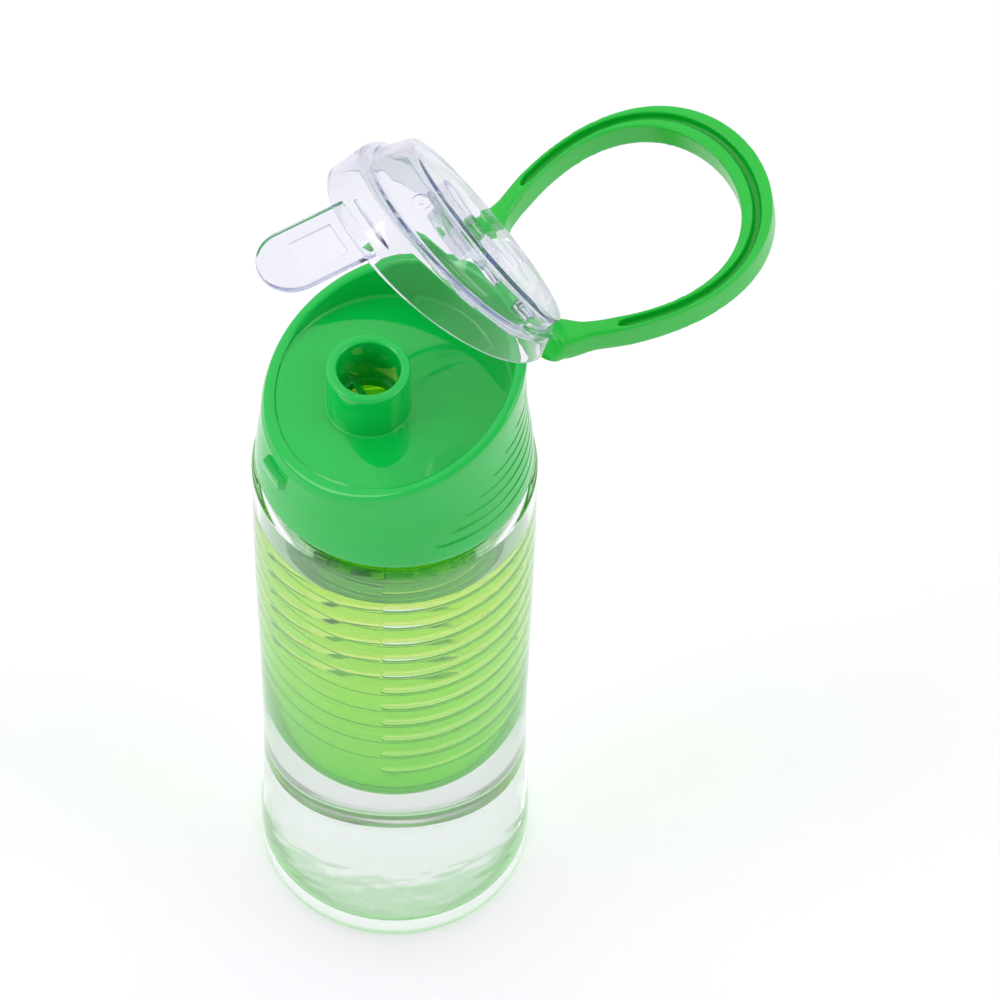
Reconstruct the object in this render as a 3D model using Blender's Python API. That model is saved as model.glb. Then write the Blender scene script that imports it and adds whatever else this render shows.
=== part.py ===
"""Infuser drinking bottle: clear body, screw lid with a spout, flip cover, carry loop, slotted basket.

Metres, +Z up, with the origin at the centre of the flat foot. The front is -Y, where the cover's tab is,
and the hinge lies along X at the back. Turns are measured from the front, towards +X, seen from above.
The cover is modelled shut and then swung open, and the loop is modelled level and then tilted up.
"""

import math

import bmesh
import bpy

# Clearances and drawing fineness
SEAT_GAP = 0.0003
SLIDE_GAP = 0.0004
SWING_GAP = 0.0004
PIN_GAP = 0.0001
EMBED = 0.0005
OVERRUN = 0.002
FAR = 0.08
MERGE = 0.000001
SMOOTH_ANGLE = math.radians(32)
EDGE_ANGLE = math.radians(60)
STEPS = 40
SMALL_STEPS = 16
SPOUT_STEPS = 24
THREAD_STEPS = 28
BASKET_STEPS = 32

# Bottle body
BODY_RADIUS = 0.0365
BASE_INSET = 0.0003
WAIST_INSET = 0.0014
WAIST_HEIGHT = 0.049
BASE_TOP = 0.012
BASE_FILLET = 0.003
SHOULDER_HEIGHT = 0.1686
SHOULDER_FILLET = 0.0038
FULL_DROP = 0.0186
BODY_WALL = 0.0019
FLOOR_THICKNESS = 0.005
FLOOR_FILLET = 0.006
NECK_STEP = 0.0053
NECK_WALL = 0.0018
NECK_LENGTH = 0.020

# Screw thread between neck and lid
THREAD_PITCH = 0.004
THREAD_DEPTH = 0.0011
THREAD_ROOT_WIDTH = 0.002
THREAD_CREST_WIDTH = 0.0009
THREAD_RISE = 0.0066
NECK_THREAD_TURNS = 1.6
LID_THREAD_TURNS = 1.1

# Lid
COLLAR_GAP = 0.0026
COLLAR_STEP = 0.0009
COLLAR_TAPER = 0.0024
COLLAR_TAPER_HEIGHT = 0.032
RIM_WIDTH = 0.003
RIM_RISE = 0.0074
RIM_SLOPE = math.tan(math.radians(20.8))
CEILING_THICKNESS = 0.0026
DECK_DEPTH = 0.005
DECK_THICKNESS = 0.0024
DECK_POCKET_RADIUS = 0.020
SLEEVE_WALL = 0.0015
SLEEVE_LENGTH = 0.0104

# Spout and the strainer at its foot
SPOUT_Y = -0.0074
SPOUT_RADIUS = 0.01055
SPOUT_WALL = 0.00255
SPOUT_HEIGHT = 0.0152
SPOUT_LIP = 0.0008
STRAINER_EDGE = 0.0008
STRAINER_BAR = 0.0018
STRAINER_HOLES = 4

# Grip grooves round the back of the collar
GROOVES = 8
GROOVE_RISE = 0.0063
GROOVE_PITCH = 0.004
GROOVE_WIDTH = 0.0012
GROOVE_DEPTH = 0.0006
GROOVE_FIRST_Y = -0.008
GROOVE_LEAN = 1.16

# Latch nub on the front of the collar
NUB_HALF_WIDTH = 0.0052
NUB_DROP = 0.0088
NUB_HEIGHT = 0.0036
NUB_REACH = 0.0012
NUB_CHAMFER = 0.0012

# Lid seal
GASKET_THICKNESS = 0.0014
GASKET_OVERLAP = 0.0012

# Hinge
HINGE_SETBACK = 0.0015
HINGE_DROP = 0.0014
COVER_OPEN = math.radians(68)
BARREL_RADIUS = 0.0032
LUG_HALF_WIDTH = 0.004
LUG_ROOT = 0.0018
LUG_FOOT_DROP = 0.0110
LUG_HEEL_DROP = 0.0050
BARREL_LENGTH = 0.0066
WEB_START = 0.0024
WEB_RISE = 0.0048
WEB_TOP_INSET = 0.0034
WEB_OUTSIDE = 0.0012
PIN_RADIUS = 0.00125
PIN_IN_FOOT = 0.0086
NOTCH_HALF_LENGTH = 0.0145

# Flip cover, shut
COVER_GAP = 0.0005
COVER_WALL = 0.0018
COVER_OVERHANG = 0.001
SHOULDER_INSET = 0.0006
SHOULDER_Y = -0.0027
SHOULDER_DROP = 0.0069
SHOULDER_SLOPE = math.tan(math.radians(14.6))
SHOULDER_EDGE = 0.0010
TIER_INSET = 0.0030
TIER_Y = -0.0019
TIER_DROP = 0.0056
TOP_INSET = 0.0041
TOP_Y = 0.0005
TOP_HEADROOM = 0.0079
TOP_SLOPE = math.tan(math.radians(7.0))
TOP_EDGE = 0.0009

# Seal cup under the cover's top, and the seal in it
CUP_WALL = 0.0016
CUP_DROP = 0.0008
SEAL_INSET = 0.00095
SEAL_THICKNESS = 0.0030
PLUG_DEPTH = 0.0030
PLUG_DRAFT = 0.0006

# Tab on the front of the cover
TAB_HALF_WIDTH = 0.0090
TAB_LENGTH = 0.0245
TAB_ROOT = 0.0030
TAB_THICKNESS = 0.0022
TAB_LEAN = math.radians(18)
TAB_WINDOW_HALF_WIDTH = 0.0048
TAB_WINDOW_TOP = 0.0026
TAB_WINDOW_LENGTH = 0.0115
TAB_WINDOW_DEPTH = 0.0010
CATCH_HALF_LENGTH = 0.0082
CATCH_RISE = 0.0055
CATCH_SIZE = 0.0014

# Carry loop, level, measured from the hinge axis
LOOP_RISE = math.radians(8.9)
LOOP_HALF_WIDTH = 0.0301
LOOP_HALF_LENGTH = 0.0431
LOOP_MIDDLE = 0.0273
LOOP_EGG_SHARE = 0.27
BAND_SIDE = 0.0042
BAND_END = 0.0088
BAND_TOP = 0.005
BAND_DEPTH = 0.008
BAND_START = 0.0015
BAND_EDGE = 0.0009
BAND_STEPS = 26
FOOT_WIDTH = 0.0113
FOOT_RADIUS = 0.0039
FOOT_END_RADIUS = 0.0018
FOOT_TAPER = 0.0032
FOOT_FLARE = 0.009
FLARE_INSET = 0.0042
FLARE_START = 0.0055
LOOP_GROOVE_WIDTH = 0.0022
LOOP_GROOVE_DEPTH = 0.0025
LOOP_GROOVE_START = 0.016

# Infuser basket
BASKET_GAP = 0.0006
BASKET_WALL = 0.0014
BASKET_BOTTOM = 0.0495
BASKET_CORNER = 0.0278
CORNER_STEPS = 8
SLOT_ROWS = 12
SLOT_RISE = 0.026
SLOT_PITCH = 0.0076
SLOT_HEIGHT = 0.0026
SLOT_PANELS = 2
FIRST_PLAIN_TURN = math.radians(8)
PLAIN_WIDTH = 0.047
SLOT_STEPS = 6

# Shares of the collar's taper height, and how far the radius has gone in there
COLLAR_SHAPE_SHARES = ((0.0, 0.0), (0.15, 0.12), (0.35, 0.37), (0.56, 0.70), (0.78, 0.92), (1.0, 1.0))
WAIST_SHAPE_SHARES = (0.33, 0.67, 1.0)
QUARTER_SHARES = (0.0, 0.33, 0.67, 1.0)
HALF_TURN_SHARES = (0.0, 0.25, 0.5, 0.75, 1.0)
TAB_TIP_SHARES = (0.0, 0.15, 0.3, 0.4, 0.5, 0.6, 0.7, 0.85, 1.0)

# Radii and heights that follow, from the body up
BASE_RADIUS = BODY_RADIUS - BASE_INSET
WAIST_RADIUS = BODY_RADIUS - WAIST_INSET
FULL_HEIGHT = SHOULDER_HEIGHT - FULL_DROP
NECK_FOOT = SHOULDER_HEIGHT + SHOULDER_FILLET
NECK_TOP = NECK_FOOT + NECK_LENGTH
NECK_RADIUS = BODY_RADIUS - NECK_STEP
NECK_BORE_RADIUS = NECK_RADIUS - NECK_WALL
THREAD_START = NECK_FOOT + THREAD_RISE
THREAD_CREST_RADIUS = NECK_RADIUS + THREAD_DEPTH
BASKET_RADIUS = NECK_BORE_RADIUS - BASKET_GAP
BASKET_BORE_RADIUS = BASKET_RADIUS - BASKET_WALL
SLOT_START = BASKET_BOTTOM + SLOT_RISE

COLLAR_BOTTOM = NECK_FOOT + COLLAR_GAP
COLLAR_BOTTOM_RADIUS = BODY_RADIUS - COLLAR_STEP
RIM_RADIUS = COLLAR_BOTTOM_RADIUS - COLLAR_TAPER
LID_BORE_RADIUS = THREAD_CREST_RADIUS + SEAT_GAP
LID_CEILING = NECK_TOP + GASKET_THICKNESS + 2 * SEAT_GAP
SLEEVE_RADIUS = BASKET_BORE_RADIUS - SLIDE_GAP
SLEEVE_BOTTOM = LID_CEILING - SLEEVE_LENGTH
DECK_UNDERSIDE = LID_CEILING + CEILING_THICKNESS
DECK_HEIGHT = DECK_UNDERSIDE + DECK_DEPTH
RIM_MIDDLE = DECK_HEIGHT + RIM_RISE
RIM_FRONT = RIM_MIDDLE - RIM_SLOPE * RIM_RADIUS
RIM_BACK = RIM_MIDDLE + RIM_SLOPE * RIM_RADIUS
SPOUT_BORE_RADIUS = SPOUT_RADIUS - SPOUT_WALL
SPOUT_TOP = DECK_HEIGHT + SPOUT_HEIGHT
STRAINER_RADIUS = SPOUT_BORE_RADIUS - STRAINER_EDGE
GROOVE_START = COLLAR_BOTTOM + GROOVE_RISE
NUB_BOTTOM = RIM_FRONT - NUB_DROP

HINGE_Y = RIM_RADIUS + HINGE_SETBACK
HINGE_HEIGHT = RIM_BACK - HINGE_DROP
BARREL_START = LUG_HALF_WIDTH + SEAT_GAP
BARREL_END = BARREL_START + BARREL_LENGTH
FOOT_START = BARREL_END + SEAT_GAP
FOOT_END = FOOT_START + FOOT_WIDTH
PIN_BORE_RADIUS = PIN_RADIUS + PIN_GAP
PIN_END = FOOT_START + PIN_IN_FOOT

COVER_RIM_RADIUS = RIM_RADIUS + COVER_OVERHANG
SHOULDER_RADIUS = RIM_RADIUS - SHOULDER_INSET
TIER_RADIUS = RIM_RADIUS - TIER_INSET
TOP_RADIUS = RIM_RADIUS - TOP_INSET
TOP_MIDDLE = SPOUT_TOP + TOP_HEADROOM
TIER_MIDDLE = TOP_MIDDLE - TIER_DROP
SHOULDER_MIDDLE = TOP_MIDDLE - SHOULDER_DROP
SEAL_RADIUS = SPOUT_RADIUS - SEAL_INSET


def material(name, colour, roughness, transmission=0.0):
    made = bpy.data.materials.new(name)
    made.use_nodes = True
    shader = made.node_tree.nodes["Principled BSDF"]
    shader.inputs["Base Color"].default_value = (*colour, 1)
    shader.inputs["Roughness"].default_value = roughness
    shader.inputs["Transmission Weight"].default_value = transmission
    return made


def finished(name, mesh, look):
    """Turn a bmesh into a named object with outward faces, smooth where it is round."""
    bmesh.ops.remove_doubles(mesh, verts=mesh.verts, dist=MERGE)
    bmesh.ops.recalc_face_normals(mesh, faces=mesh.faces)
    data = bpy.data.meshes.new(name)
    mesh.to_mesh(data)
    mesh.free()
    data.shade_smooth()
    data.set_sharp_from_angle(angle=SMOOTH_ANGLE)
    shape = bpy.data.objects.new(name, data)
    bpy.context.scene.collection.objects.link(shape)
    if look:
        data.materials.append(look)
    return shape


def ring_solid(name, rings, look=None, steps=STEPS):
    """A solid through circles, each given as radius, centre y, height there and slope towards +Y.

    A radius of zero is a pole. Without poles the last circle joins the first.
    """
    mesh = bmesh.new()
    loops = []
    for radius, middle, height, slope in rings:
        turns = [math.tau * step / steps for step in range(steps if radius else 1)]
        loops.append(
            [
                mesh.verts.new(
                    (
                        radius * math.sin(turn),
                        middle - radius * math.cos(turn),
                        height - slope * radius * math.cos(turn),
                    )
                )
                for turn in turns
            ]
        )
    pairs = list(zip(loops, loops[1:]))
    if rings[0][0]:
        pairs.append((loops[-1], loops[0]))
    for near, far in pairs:
        for step in range(steps):
            corners = (
                near[step % len(near)],
                near[(step + 1) % len(near)],
                far[(step + 1) % len(far)],
                far[step % len(far)],
            )
            mesh.faces.new(list(dict.fromkeys(corners)))
    return finished(name, mesh, look)


def turned(name, outline, look=None, steps=STEPS, middle=0.0):
    """A solid turned about a vertical axis, from radius and height pairs."""
    return ring_solid(name, [(radius, middle, height, 0) for radius, height in outline], look, steps)


def extruded(name, points, reach, look=None):
    """A flat outline pushed along a vector."""
    mesh = bmesh.new()
    base = mesh.faces.new([mesh.verts.new(point) for point in points])
    grown = bmesh.ops.extrude_face_region(mesh, geom=[base])
    moved = [item for item in grown["geom"] if isinstance(item, bmesh.types.BMVert)]
    bmesh.ops.translate(mesh, verts=moved, vec=reach)
    return finished(name, mesh, look)


def add_sweep(mesh, sections):
    """Join sections with the same number of corners into one capped body."""
    loops = [[mesh.verts.new(corner) for corner in section] for section in sections]
    for near, far in zip(loops, loops[1:]):
        for side in range(len(near)):
            after = (side + 1) % len(near)
            mesh.faces.new((near[side], near[after], far[after], far[side]))
    mesh.faces.new(loops[0])
    mesh.faces.new(loops[-1])


def rod(name, profile, y, height, look=None):
    """A round bar along X, from distance and radius pairs."""
    mesh = bmesh.new()
    turns = [math.tau * step / SMALL_STEPS for step in range(SMALL_STEPS)]
    add_sweep(
        mesh,
        [
            [(x, y + radius * math.cos(turn), height + radius * math.sin(turn)) for turn in turns]
            for x, radius in profile
        ],
    )
    return finished(name, mesh, look)


def hinge_rod(name, radius, start, end, look=None):
    """A plain round bar on the hinge axis."""
    return rod(name, [(start, radius), (end, radius)], HINGE_Y, HINGE_HEIGHT, look)


def around(radius, turn, height):
    return (radius * math.sin(turn), -radius * math.cos(turn), height)


def combine(shape, tool, operation):
    """Add or cut with a tool that isn't part of the object itself."""
    tool.hide_render = True
    tool.display_type = "WIRE"
    change = shape.modifiers.new(tool.name, "BOOLEAN")
    change.operation = operation
    change.object = tool
    return tool


def both_sides(make, start, end):
    """Make one tool on +X and its mirror on -X."""
    return [make("right", start, end), make("left", -end, -start)]


def body_radius(height):
    """The outer radius of the body: full at the top, drawn in at the waist, wider again at the base."""
    if height > WAIST_HEIGHT:
        share = min((height - WAIST_HEIGHT) / (FULL_HEIGHT - WAIST_HEIGHT), 1)
        return WAIST_RADIUS + (BODY_RADIUS - WAIST_RADIUS) * share * share * (3 - 2 * share)
    share = min((WAIST_HEIGHT - height) / (WAIST_HEIGHT - BASE_TOP), 1)
    return WAIST_RADIUS + (BASE_RADIUS - WAIST_RADIUS) * share * share * (3 - 2 * share)


def quarter(radius, height, size, start):
    """Points on a quarter round about a centre, from a start angle up by a right angle."""
    return [
        (
            radius + size * math.cos(start + share * math.pi / 2),
            height + size * math.sin(start + share * math.pi / 2),
        )
        for share in QUARTER_SHARES
    ]


def helix_ridge(name, root, crest, height, turns):
    """A thread ridge that climbs one pitch a turn."""
    mesh = bmesh.new()
    sections = []
    count = round(turns * THREAD_STEPS)
    for step in range(count + 1):
        turn = math.tau * step / THREAD_STEPS
        level = height + THREAD_PITCH * step / THREAD_STEPS
        sections.append(
            [
                around(root, turn, level - THREAD_ROOT_WIDTH / 2),
                around(crest, turn, level - THREAD_CREST_WIDTH / 2),
                around(crest, turn, level + THREAD_CREST_WIDTH / 2),
                around(root, turn, level + THREAD_ROOT_WIDTH / 2),
            ]
        )
    add_sweep(mesh, sections)
    return finished(name, mesh, None)


def bottle_body(look):
    waist = WAIST_HEIGHT - BASE_TOP
    rise = FULL_HEIGHT - WAIST_HEIGHT
    heights = [BASE_TOP + share * waist for share in WAIST_SHAPE_SHARES]
    heights += [WAIST_HEIGHT + share * rise for share in WAIST_SHAPE_SHARES]
    outer = quarter(BASE_RADIUS - BASE_FILLET, BASE_FILLET, BASE_FILLET, -math.pi / 2)
    outer += [(BASE_RADIUS, BASE_TOP)]
    outer += [(body_radius(height), height) for height in heights]
    outer += quarter(BODY_RADIUS - SHOULDER_FILLET, SHOULDER_HEIGHT, SHOULDER_FILLET, 0)
    neck = [(NECK_RADIUS, NECK_FOOT), (NECK_RADIUS, NECK_TOP), (NECK_BORE_RADIUS, NECK_TOP)]
    fillet = SHOULDER_FILLET - BODY_WALL / 2
    inner = [(NECK_BORE_RADIUS, NECK_FOOT - BODY_WALL)]
    inner += quarter(BODY_RADIUS - BODY_WALL - fillet, SHOULDER_HEIGHT, fillet - BODY_WALL / 2, 0)[::-1]
    inner += [(body_radius(height) - BODY_WALL, height) for height in heights[::-1]]
    inner += quarter(
        BASE_RADIUS - BODY_WALL - FLOOR_FILLET, FLOOR_THICKNESS + FLOOR_FILLET, FLOOR_FILLET, -math.pi / 2
    )[::-1]
    outline = [(0, 0)] + outer + neck + inner + [(0, FLOOR_THICKNESS)]
    body = turned("bottle_body", outline, look)
    ridge = helix_ridge(
        "neck_thread", NECK_RADIUS - EMBED, THREAD_CREST_RADIUS, THREAD_START, NECK_THREAD_TURNS
    )
    combine(body, ridge, "UNION")
    return body


def collar_radius(height):
    """The lid's outer radius, which swells from the rim down to the collar's bottom edge."""
    share = (height - COLLAR_BOTTOM) / COLLAR_TAPER_HEIGHT
    for (low, gone), (high, after) in zip(COLLAR_SHAPE_SHARES, COLLAR_SHAPE_SHARES[1:]):
        if share <= high:
            inward = gone + (after - gone) * (share - low) / (high - low)
            return COLLAR_BOTTOM_RADIUS - inward * (COLLAR_BOTTOM_RADIUS - RIM_RADIUS)
    return RIM_RADIUS


def lid_shell(look):
    blank_top = RIM_BACK + OVERRUN
    levels = [COLLAR_BOTTOM + share * COLLAR_TAPER_HEIGHT for share, _ in COLLAR_SHAPE_SHARES[::-1]]
    recess = RIM_RADIUS - RIM_WIDTH
    inside = SLEEVE_RADIUS - SLEEVE_WALL
    outline = [(0, DECK_HEIGHT), (recess, DECK_HEIGHT), (recess, blank_top), (RIM_RADIUS, blank_top)]
    outline += [(collar_radius(level), level) for level in levels]
    outline += [
        (LID_BORE_RADIUS, COLLAR_BOTTOM),
        (LID_BORE_RADIUS, LID_CEILING),
        (SLEEVE_RADIUS, LID_CEILING),
        (SLEEVE_RADIUS, SLEEVE_BOTTOM),
        (inside, SLEEVE_BOTTOM),
        (inside, DECK_UNDERSIDE),
        (DECK_POCKET_RADIUS, DECK_UNDERSIDE),
        (DECK_POCKET_RADIUS, DECK_HEIGHT - DECK_THICKNESS),
        (0, DECK_HEIGHT - DECK_THICKNESS),
    ]
    return turned("lid", outline, look)


def rim_plane_cutter():
    """Everything above the slanted plane of the rim, which is low at the front."""
    low = RIM_MIDDLE - RIM_SLOPE * FAR
    high = RIM_MIDDLE + RIM_SLOPE * FAR
    outline = [(-FAR, -FAR, low), (-FAR, FAR, high), (-FAR, FAR, high + FAR), (-FAR, -FAR, high + FAR)]
    return extruded("rim_plane", outline, (2 * FAR, 0, 0))


def spout():
    outline = [
        (SPOUT_BORE_RADIUS, DECK_HEIGHT - EMBED),
        (SPOUT_RADIUS, DECK_HEIGHT - EMBED),
        (SPOUT_RADIUS, SPOUT_TOP - SPOUT_LIP),
        (SPOUT_RADIUS - SPOUT_LIP, SPOUT_TOP),
        (SPOUT_BORE_RADIUS + SPOUT_LIP, SPOUT_TOP),
        (SPOUT_BORE_RADIUS, SPOUT_TOP - SPOUT_LIP),
    ]
    return turned("spout_tube", outline, steps=SPOUT_STEPS, middle=SPOUT_Y)


def strainer_cutters():
    """Sector holes at the spout's foot, which leave a cross of bars."""
    mesh = bmesh.new()
    bar = STRAINER_BAR / 2
    span = math.tau / STRAINER_HOLES
    first = math.asin(bar / STRAINER_RADIUS)
    for side in range(STRAINER_HOLES):
        start = side * span
        corners = [(bar / math.sin(span / 2), start + span / 2)]
        corners += [
            (STRAINER_RADIUS, start + first + share * (span - 2 * first)) for share in QUARTER_SHARES
        ]
        placed = [(radius * math.cos(turn), SPOUT_Y + radius * math.sin(turn)) for radius, turn in corners]
        levels = (DECK_HEIGHT - DECK_THICKNESS - OVERRUN, DECK_HEIGHT + OVERRUN)
        add_sweep(mesh, [[(x, y, level) for x, y in placed] for level in levels])
    return finished("strainer_holes", mesh, None)


def groove_cutters():
    """Arcs round the back of the collar. Each one higher up starts further back, on a slant."""
    mesh = bmesh.new()
    half = GROOVE_WIDTH / 2
    for row in range(GROOVES):
        level = GROOVE_START + row * GROOVE_PITCH
        radius = collar_radius(level)
        start = math.acos(-(GROOVE_FIRST_Y + GROOVE_LEAN * (level - GROOVE_START)) / radius)
        count = max(round((math.tau - 2 * start) / math.tau * STEPS), 2)
        sections = []
        for step in range(count + 1):
            turn = start + (math.tau - 2 * start) * step / count
            sections.append(
                [
                    around(radius - GROOVE_DEPTH, turn, level - half / 2),
                    around(radius + OVERRUN, turn, level - half),
                    around(radius + OVERRUN, turn, level + half),
                    around(radius - GROOVE_DEPTH, turn, level + half / 2),
                ]
            )
        add_sweep(mesh, sections)
    return finished("grip_grooves", mesh, None)


def latch_nub():
    front = -collar_radius(NUB_BOTTOM) - NUB_REACH
    root = -collar_radius(NUB_BOTTOM) + NUB_CHAMFER
    points = [
        (-NUB_HALF_WIDTH, root, NUB_BOTTOM),
        (-NUB_HALF_WIDTH + NUB_CHAMFER, front, NUB_BOTTOM),
        (NUB_HALF_WIDTH - NUB_CHAMFER, front, NUB_BOTTOM),
        (NUB_HALF_WIDTH, root, NUB_BOTTOM),
    ]
    return extruded("latch_nub", points, (0, 0, NUB_HEIGHT))


def hinge_lug():
    """The bracket in the middle of the lid's back, which ends in a round eye on the hinge axis."""
    swings = [math.pi * share for share in HALF_TURN_SHARES]
    points = [
        (HINGE_Y + BARREL_RADIUS * math.cos(swing), HINGE_HEIGHT + BARREL_RADIUS * math.sin(swing))
        for swing in swings
    ]
    points += [
        (RIM_RADIUS - LUG_ROOT, HINGE_HEIGHT - BARREL_RADIUS),
        (RIM_RADIUS - LUG_ROOT, HINGE_HEIGHT - LUG_FOOT_DROP),
        (RIM_RADIUS - EMBED, HINGE_HEIGHT - LUG_FOOT_DROP),
        (HINGE_Y + BARREL_RADIUS / 2, HINGE_HEIGHT - LUG_HEEL_DROP),
    ]
    return extruded("hinge_lug", [(-LUG_HALF_WIDTH, y, z) for y, z in points], (2 * LUG_HALF_WIDTH, 0, 0))


def lid(look):
    shell = lid_shell(look)
    combine(shell, rim_plane_cutter(), "DIFFERENCE")
    combine(shell, groove_cutters(), "DIFFERENCE")
    combine(shell, spout(), "UNION")
    combine(shell, strainer_cutters(), "DIFFERENCE")
    combine(shell, latch_nub(), "UNION")
    combine(shell, hinge_lug(), "UNION")

    def notch(side, start, end):
        return hinge_rod(f"hinge_notch_{side}", FOOT_RADIUS + SWING_GAP, start, end)

    for tool in both_sides(notch, LUG_HALF_WIDTH, NOTCH_HALF_LENGTH):
        combine(shell, tool, "DIFFERENCE")
    reach = LUG_HALF_WIDTH + OVERRUN
    combine(shell, hinge_rod("lug_bore", PIN_BORE_RADIUS, -reach, reach), "DIFFERENCE")
    ridge = helix_ridge(
        "lid_thread",
        LID_BORE_RADIUS + EMBED,
        LID_BORE_RADIUS - THREAD_DEPTH,
        THREAD_START + THREAD_PITCH / 2,
        LID_THREAD_TURNS,
    )
    combine(shell, ridge, "UNION")
    return shell


def lid_gasket(look):
    outer = NECK_RADIUS + GASKET_OVERLAP
    inner = NECK_BORE_RADIUS + SEAT_GAP
    bottom = NECK_TOP + SEAT_GAP
    top = bottom + GASKET_THICKNESS
    return turned("lid_gasket", [(inner, bottom), (outer, bottom), (outer, top), (inner, top)], look)


def hinge_pin(look):
    return hinge_rod("hinge_pin", PIN_RADIUS, -PIN_END, PIN_END, look)


def cover_shell(look):
    """Skirt, shoulder and raised top. The rim follows the lid's slant, and the top lies nearly level."""
    rim = RIM_MIDDLE + COVER_GAP
    drop = COVER_WALL
    outside = [
        (COVER_RIM_RADIUS, 0, rim, RIM_SLOPE),
        (SHOULDER_RADIUS, SHOULDER_Y, SHOULDER_MIDDLE - SHOULDER_EDGE, SHOULDER_SLOPE),
        (SHOULDER_RADIUS - SHOULDER_EDGE, SHOULDER_Y, SHOULDER_MIDDLE, SHOULDER_SLOPE),
        (TIER_RADIUS, TIER_Y, TIER_MIDDLE, SHOULDER_SLOPE),
        (TOP_RADIUS, TOP_Y, TOP_MIDDLE - TOP_EDGE, TOP_SLOPE),
        (TOP_RADIUS - TOP_EDGE, TOP_Y, TOP_MIDDLE, TOP_SLOPE),
    ]
    inside = [
        (TOP_RADIUS - TOP_EDGE - drop, TOP_Y, TOP_MIDDLE - drop, TOP_SLOPE),
        (TIER_RADIUS - drop, TIER_Y, TIER_MIDDLE - drop, SHOULDER_SLOPE),
        (SHOULDER_RADIUS - drop, SHOULDER_Y, SHOULDER_MIDDLE - SHOULDER_EDGE - drop, SHOULDER_SLOPE),
        (COVER_RIM_RADIUS - drop, 0, rim, RIM_SLOPE),
    ]
    peak = [(0, TOP_Y, TOP_MIDDLE, 0)]
    hollow = [(0, TOP_Y, TOP_MIDDLE - drop, 0)]
    return ring_solid("flip_cover", hollow + inside + outside + peak, look)


def seal_cup():
    """The short tube under the cover's top that holds the seal over the spout."""
    inner = SEAL_RADIUS + SEAT_GAP
    outer = inner + CUP_WALL
    foot = SPOUT_TOP + CUP_DROP
    roof = TOP_MIDDLE - COVER_WALL / 2 + TOP_SLOPE * (SPOUT_Y - TOP_Y)
    rings = [
        (inner, SPOUT_Y, foot, 0),
        (outer, SPOUT_Y, foot, 0),
        (outer, SPOUT_Y, roof, TOP_SLOPE),
        (inner, SPOUT_Y, roof, TOP_SLOPE),
    ]
    return ring_solid("seal_cup", rings, steps=SPOUT_STEPS)


def tab_point(across, down, outward):
    """A point of the tab: distance from the middle, down along it, and out from its inner face."""
    front = -COVER_RIM_RADIUS
    return (
        across,
        front - down * math.sin(TAB_LEAN) - outward * math.cos(TAB_LEAN),
        RIM_FRONT + COVER_GAP - down * math.cos(TAB_LEAN) + outward * math.sin(TAB_LEAN),
    )


def tab():
    swings = [math.pi * share for share in TAB_TIP_SHARES]
    tip = TAB_LENGTH - TAB_HALF_WIDTH
    outline = [(TAB_HALF_WIDTH, -TAB_ROOT), (TAB_HALF_WIDTH, 0)]
    outline += [
        (TAB_HALF_WIDTH * math.cos(swing), tip + TAB_HALF_WIDTH * math.sin(swing)) for swing in swings
    ]
    outline += [(-TAB_HALF_WIDTH, 0), (-TAB_HALF_WIDTH, -TAB_ROOT)]
    points = [tab_point(across, down, 0) for across, down in outline]
    reach = (0, -TAB_THICKNESS * math.cos(TAB_LEAN), TAB_THICKNESS * math.sin(TAB_LEAN))
    return extruded("tab", points, reach)


def tab_window():
    """The shallow square pocket in the tab's inner face, which clears the latch nub."""
    half = TAB_WINDOW_HALF_WIDTH
    top = TAB_WINDOW_TOP
    bottom = top + TAB_WINDOW_LENGTH
    corners = [(-half, top), (half, top), (half, bottom), (-half, bottom)]
    points = [tab_point(across, down, TAB_WINDOW_DEPTH) for across, down in corners]
    depth = TAB_WINDOW_DEPTH + OVERRUN
    return extruded("tab_window", points, (0, depth * math.cos(TAB_LEAN), -depth * math.sin(TAB_LEAN)))


def catch_rib():
    """The small rib inside the skirt, above the tab."""
    front = -COVER_RIM_RADIUS + COVER_WALL - EMBED
    level = RIM_FRONT + COVER_GAP + CATCH_RISE
    outline = [
        (-CATCH_HALF_LENGTH, front, level),
        (-CATCH_HALF_LENGTH, front + EMBED + CATCH_SIZE, level + CATCH_SIZE / 2),
        (-CATCH_HALF_LENGTH, front, level + CATCH_SIZE),
    ]
    return extruded("catch_rib", outline, (2 * CATCH_HALF_LENGTH, 0, 0))


def flip_cover(look):
    shell = cover_shell(look)
    tools = [combine(shell, seal_cup(), "UNION")]
    tools.append(combine(shell, catch_rib(), "UNION"))
    tools.append(combine(shell, tab(), "UNION"))
    tools.append(combine(shell, tab_window(), "DIFFERENCE"))

    reach = LUG_HALF_WIDTH + SEAT_GAP
    lug_room = hinge_rod("lug_room", BARREL_RADIUS + SWING_GAP, -reach, reach)
    tools.append(combine(shell, lug_room, "DIFFERENCE"))

    def foot_room(side, start, end):
        return hinge_rod(f"foot_room_{side}", FOOT_RADIUS + SWING_GAP, start, end)

    for tool in both_sides(foot_room, BARREL_END, FOOT_END + SWING_GAP):
        tools.append(combine(shell, tool, "DIFFERENCE"))
    for tool in both_sides(cover_barrel, BARREL_START, BARREL_END):
        tools.append(combine(shell, tool, "UNION"))

    reach = FOOT_START + OVERRUN
    bore = hinge_rod("barrel_bore", PIN_BORE_RADIUS, -reach, reach)
    tools.append(combine(shell, bore, "DIFFERENCE"))
    return shell, tools


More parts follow.
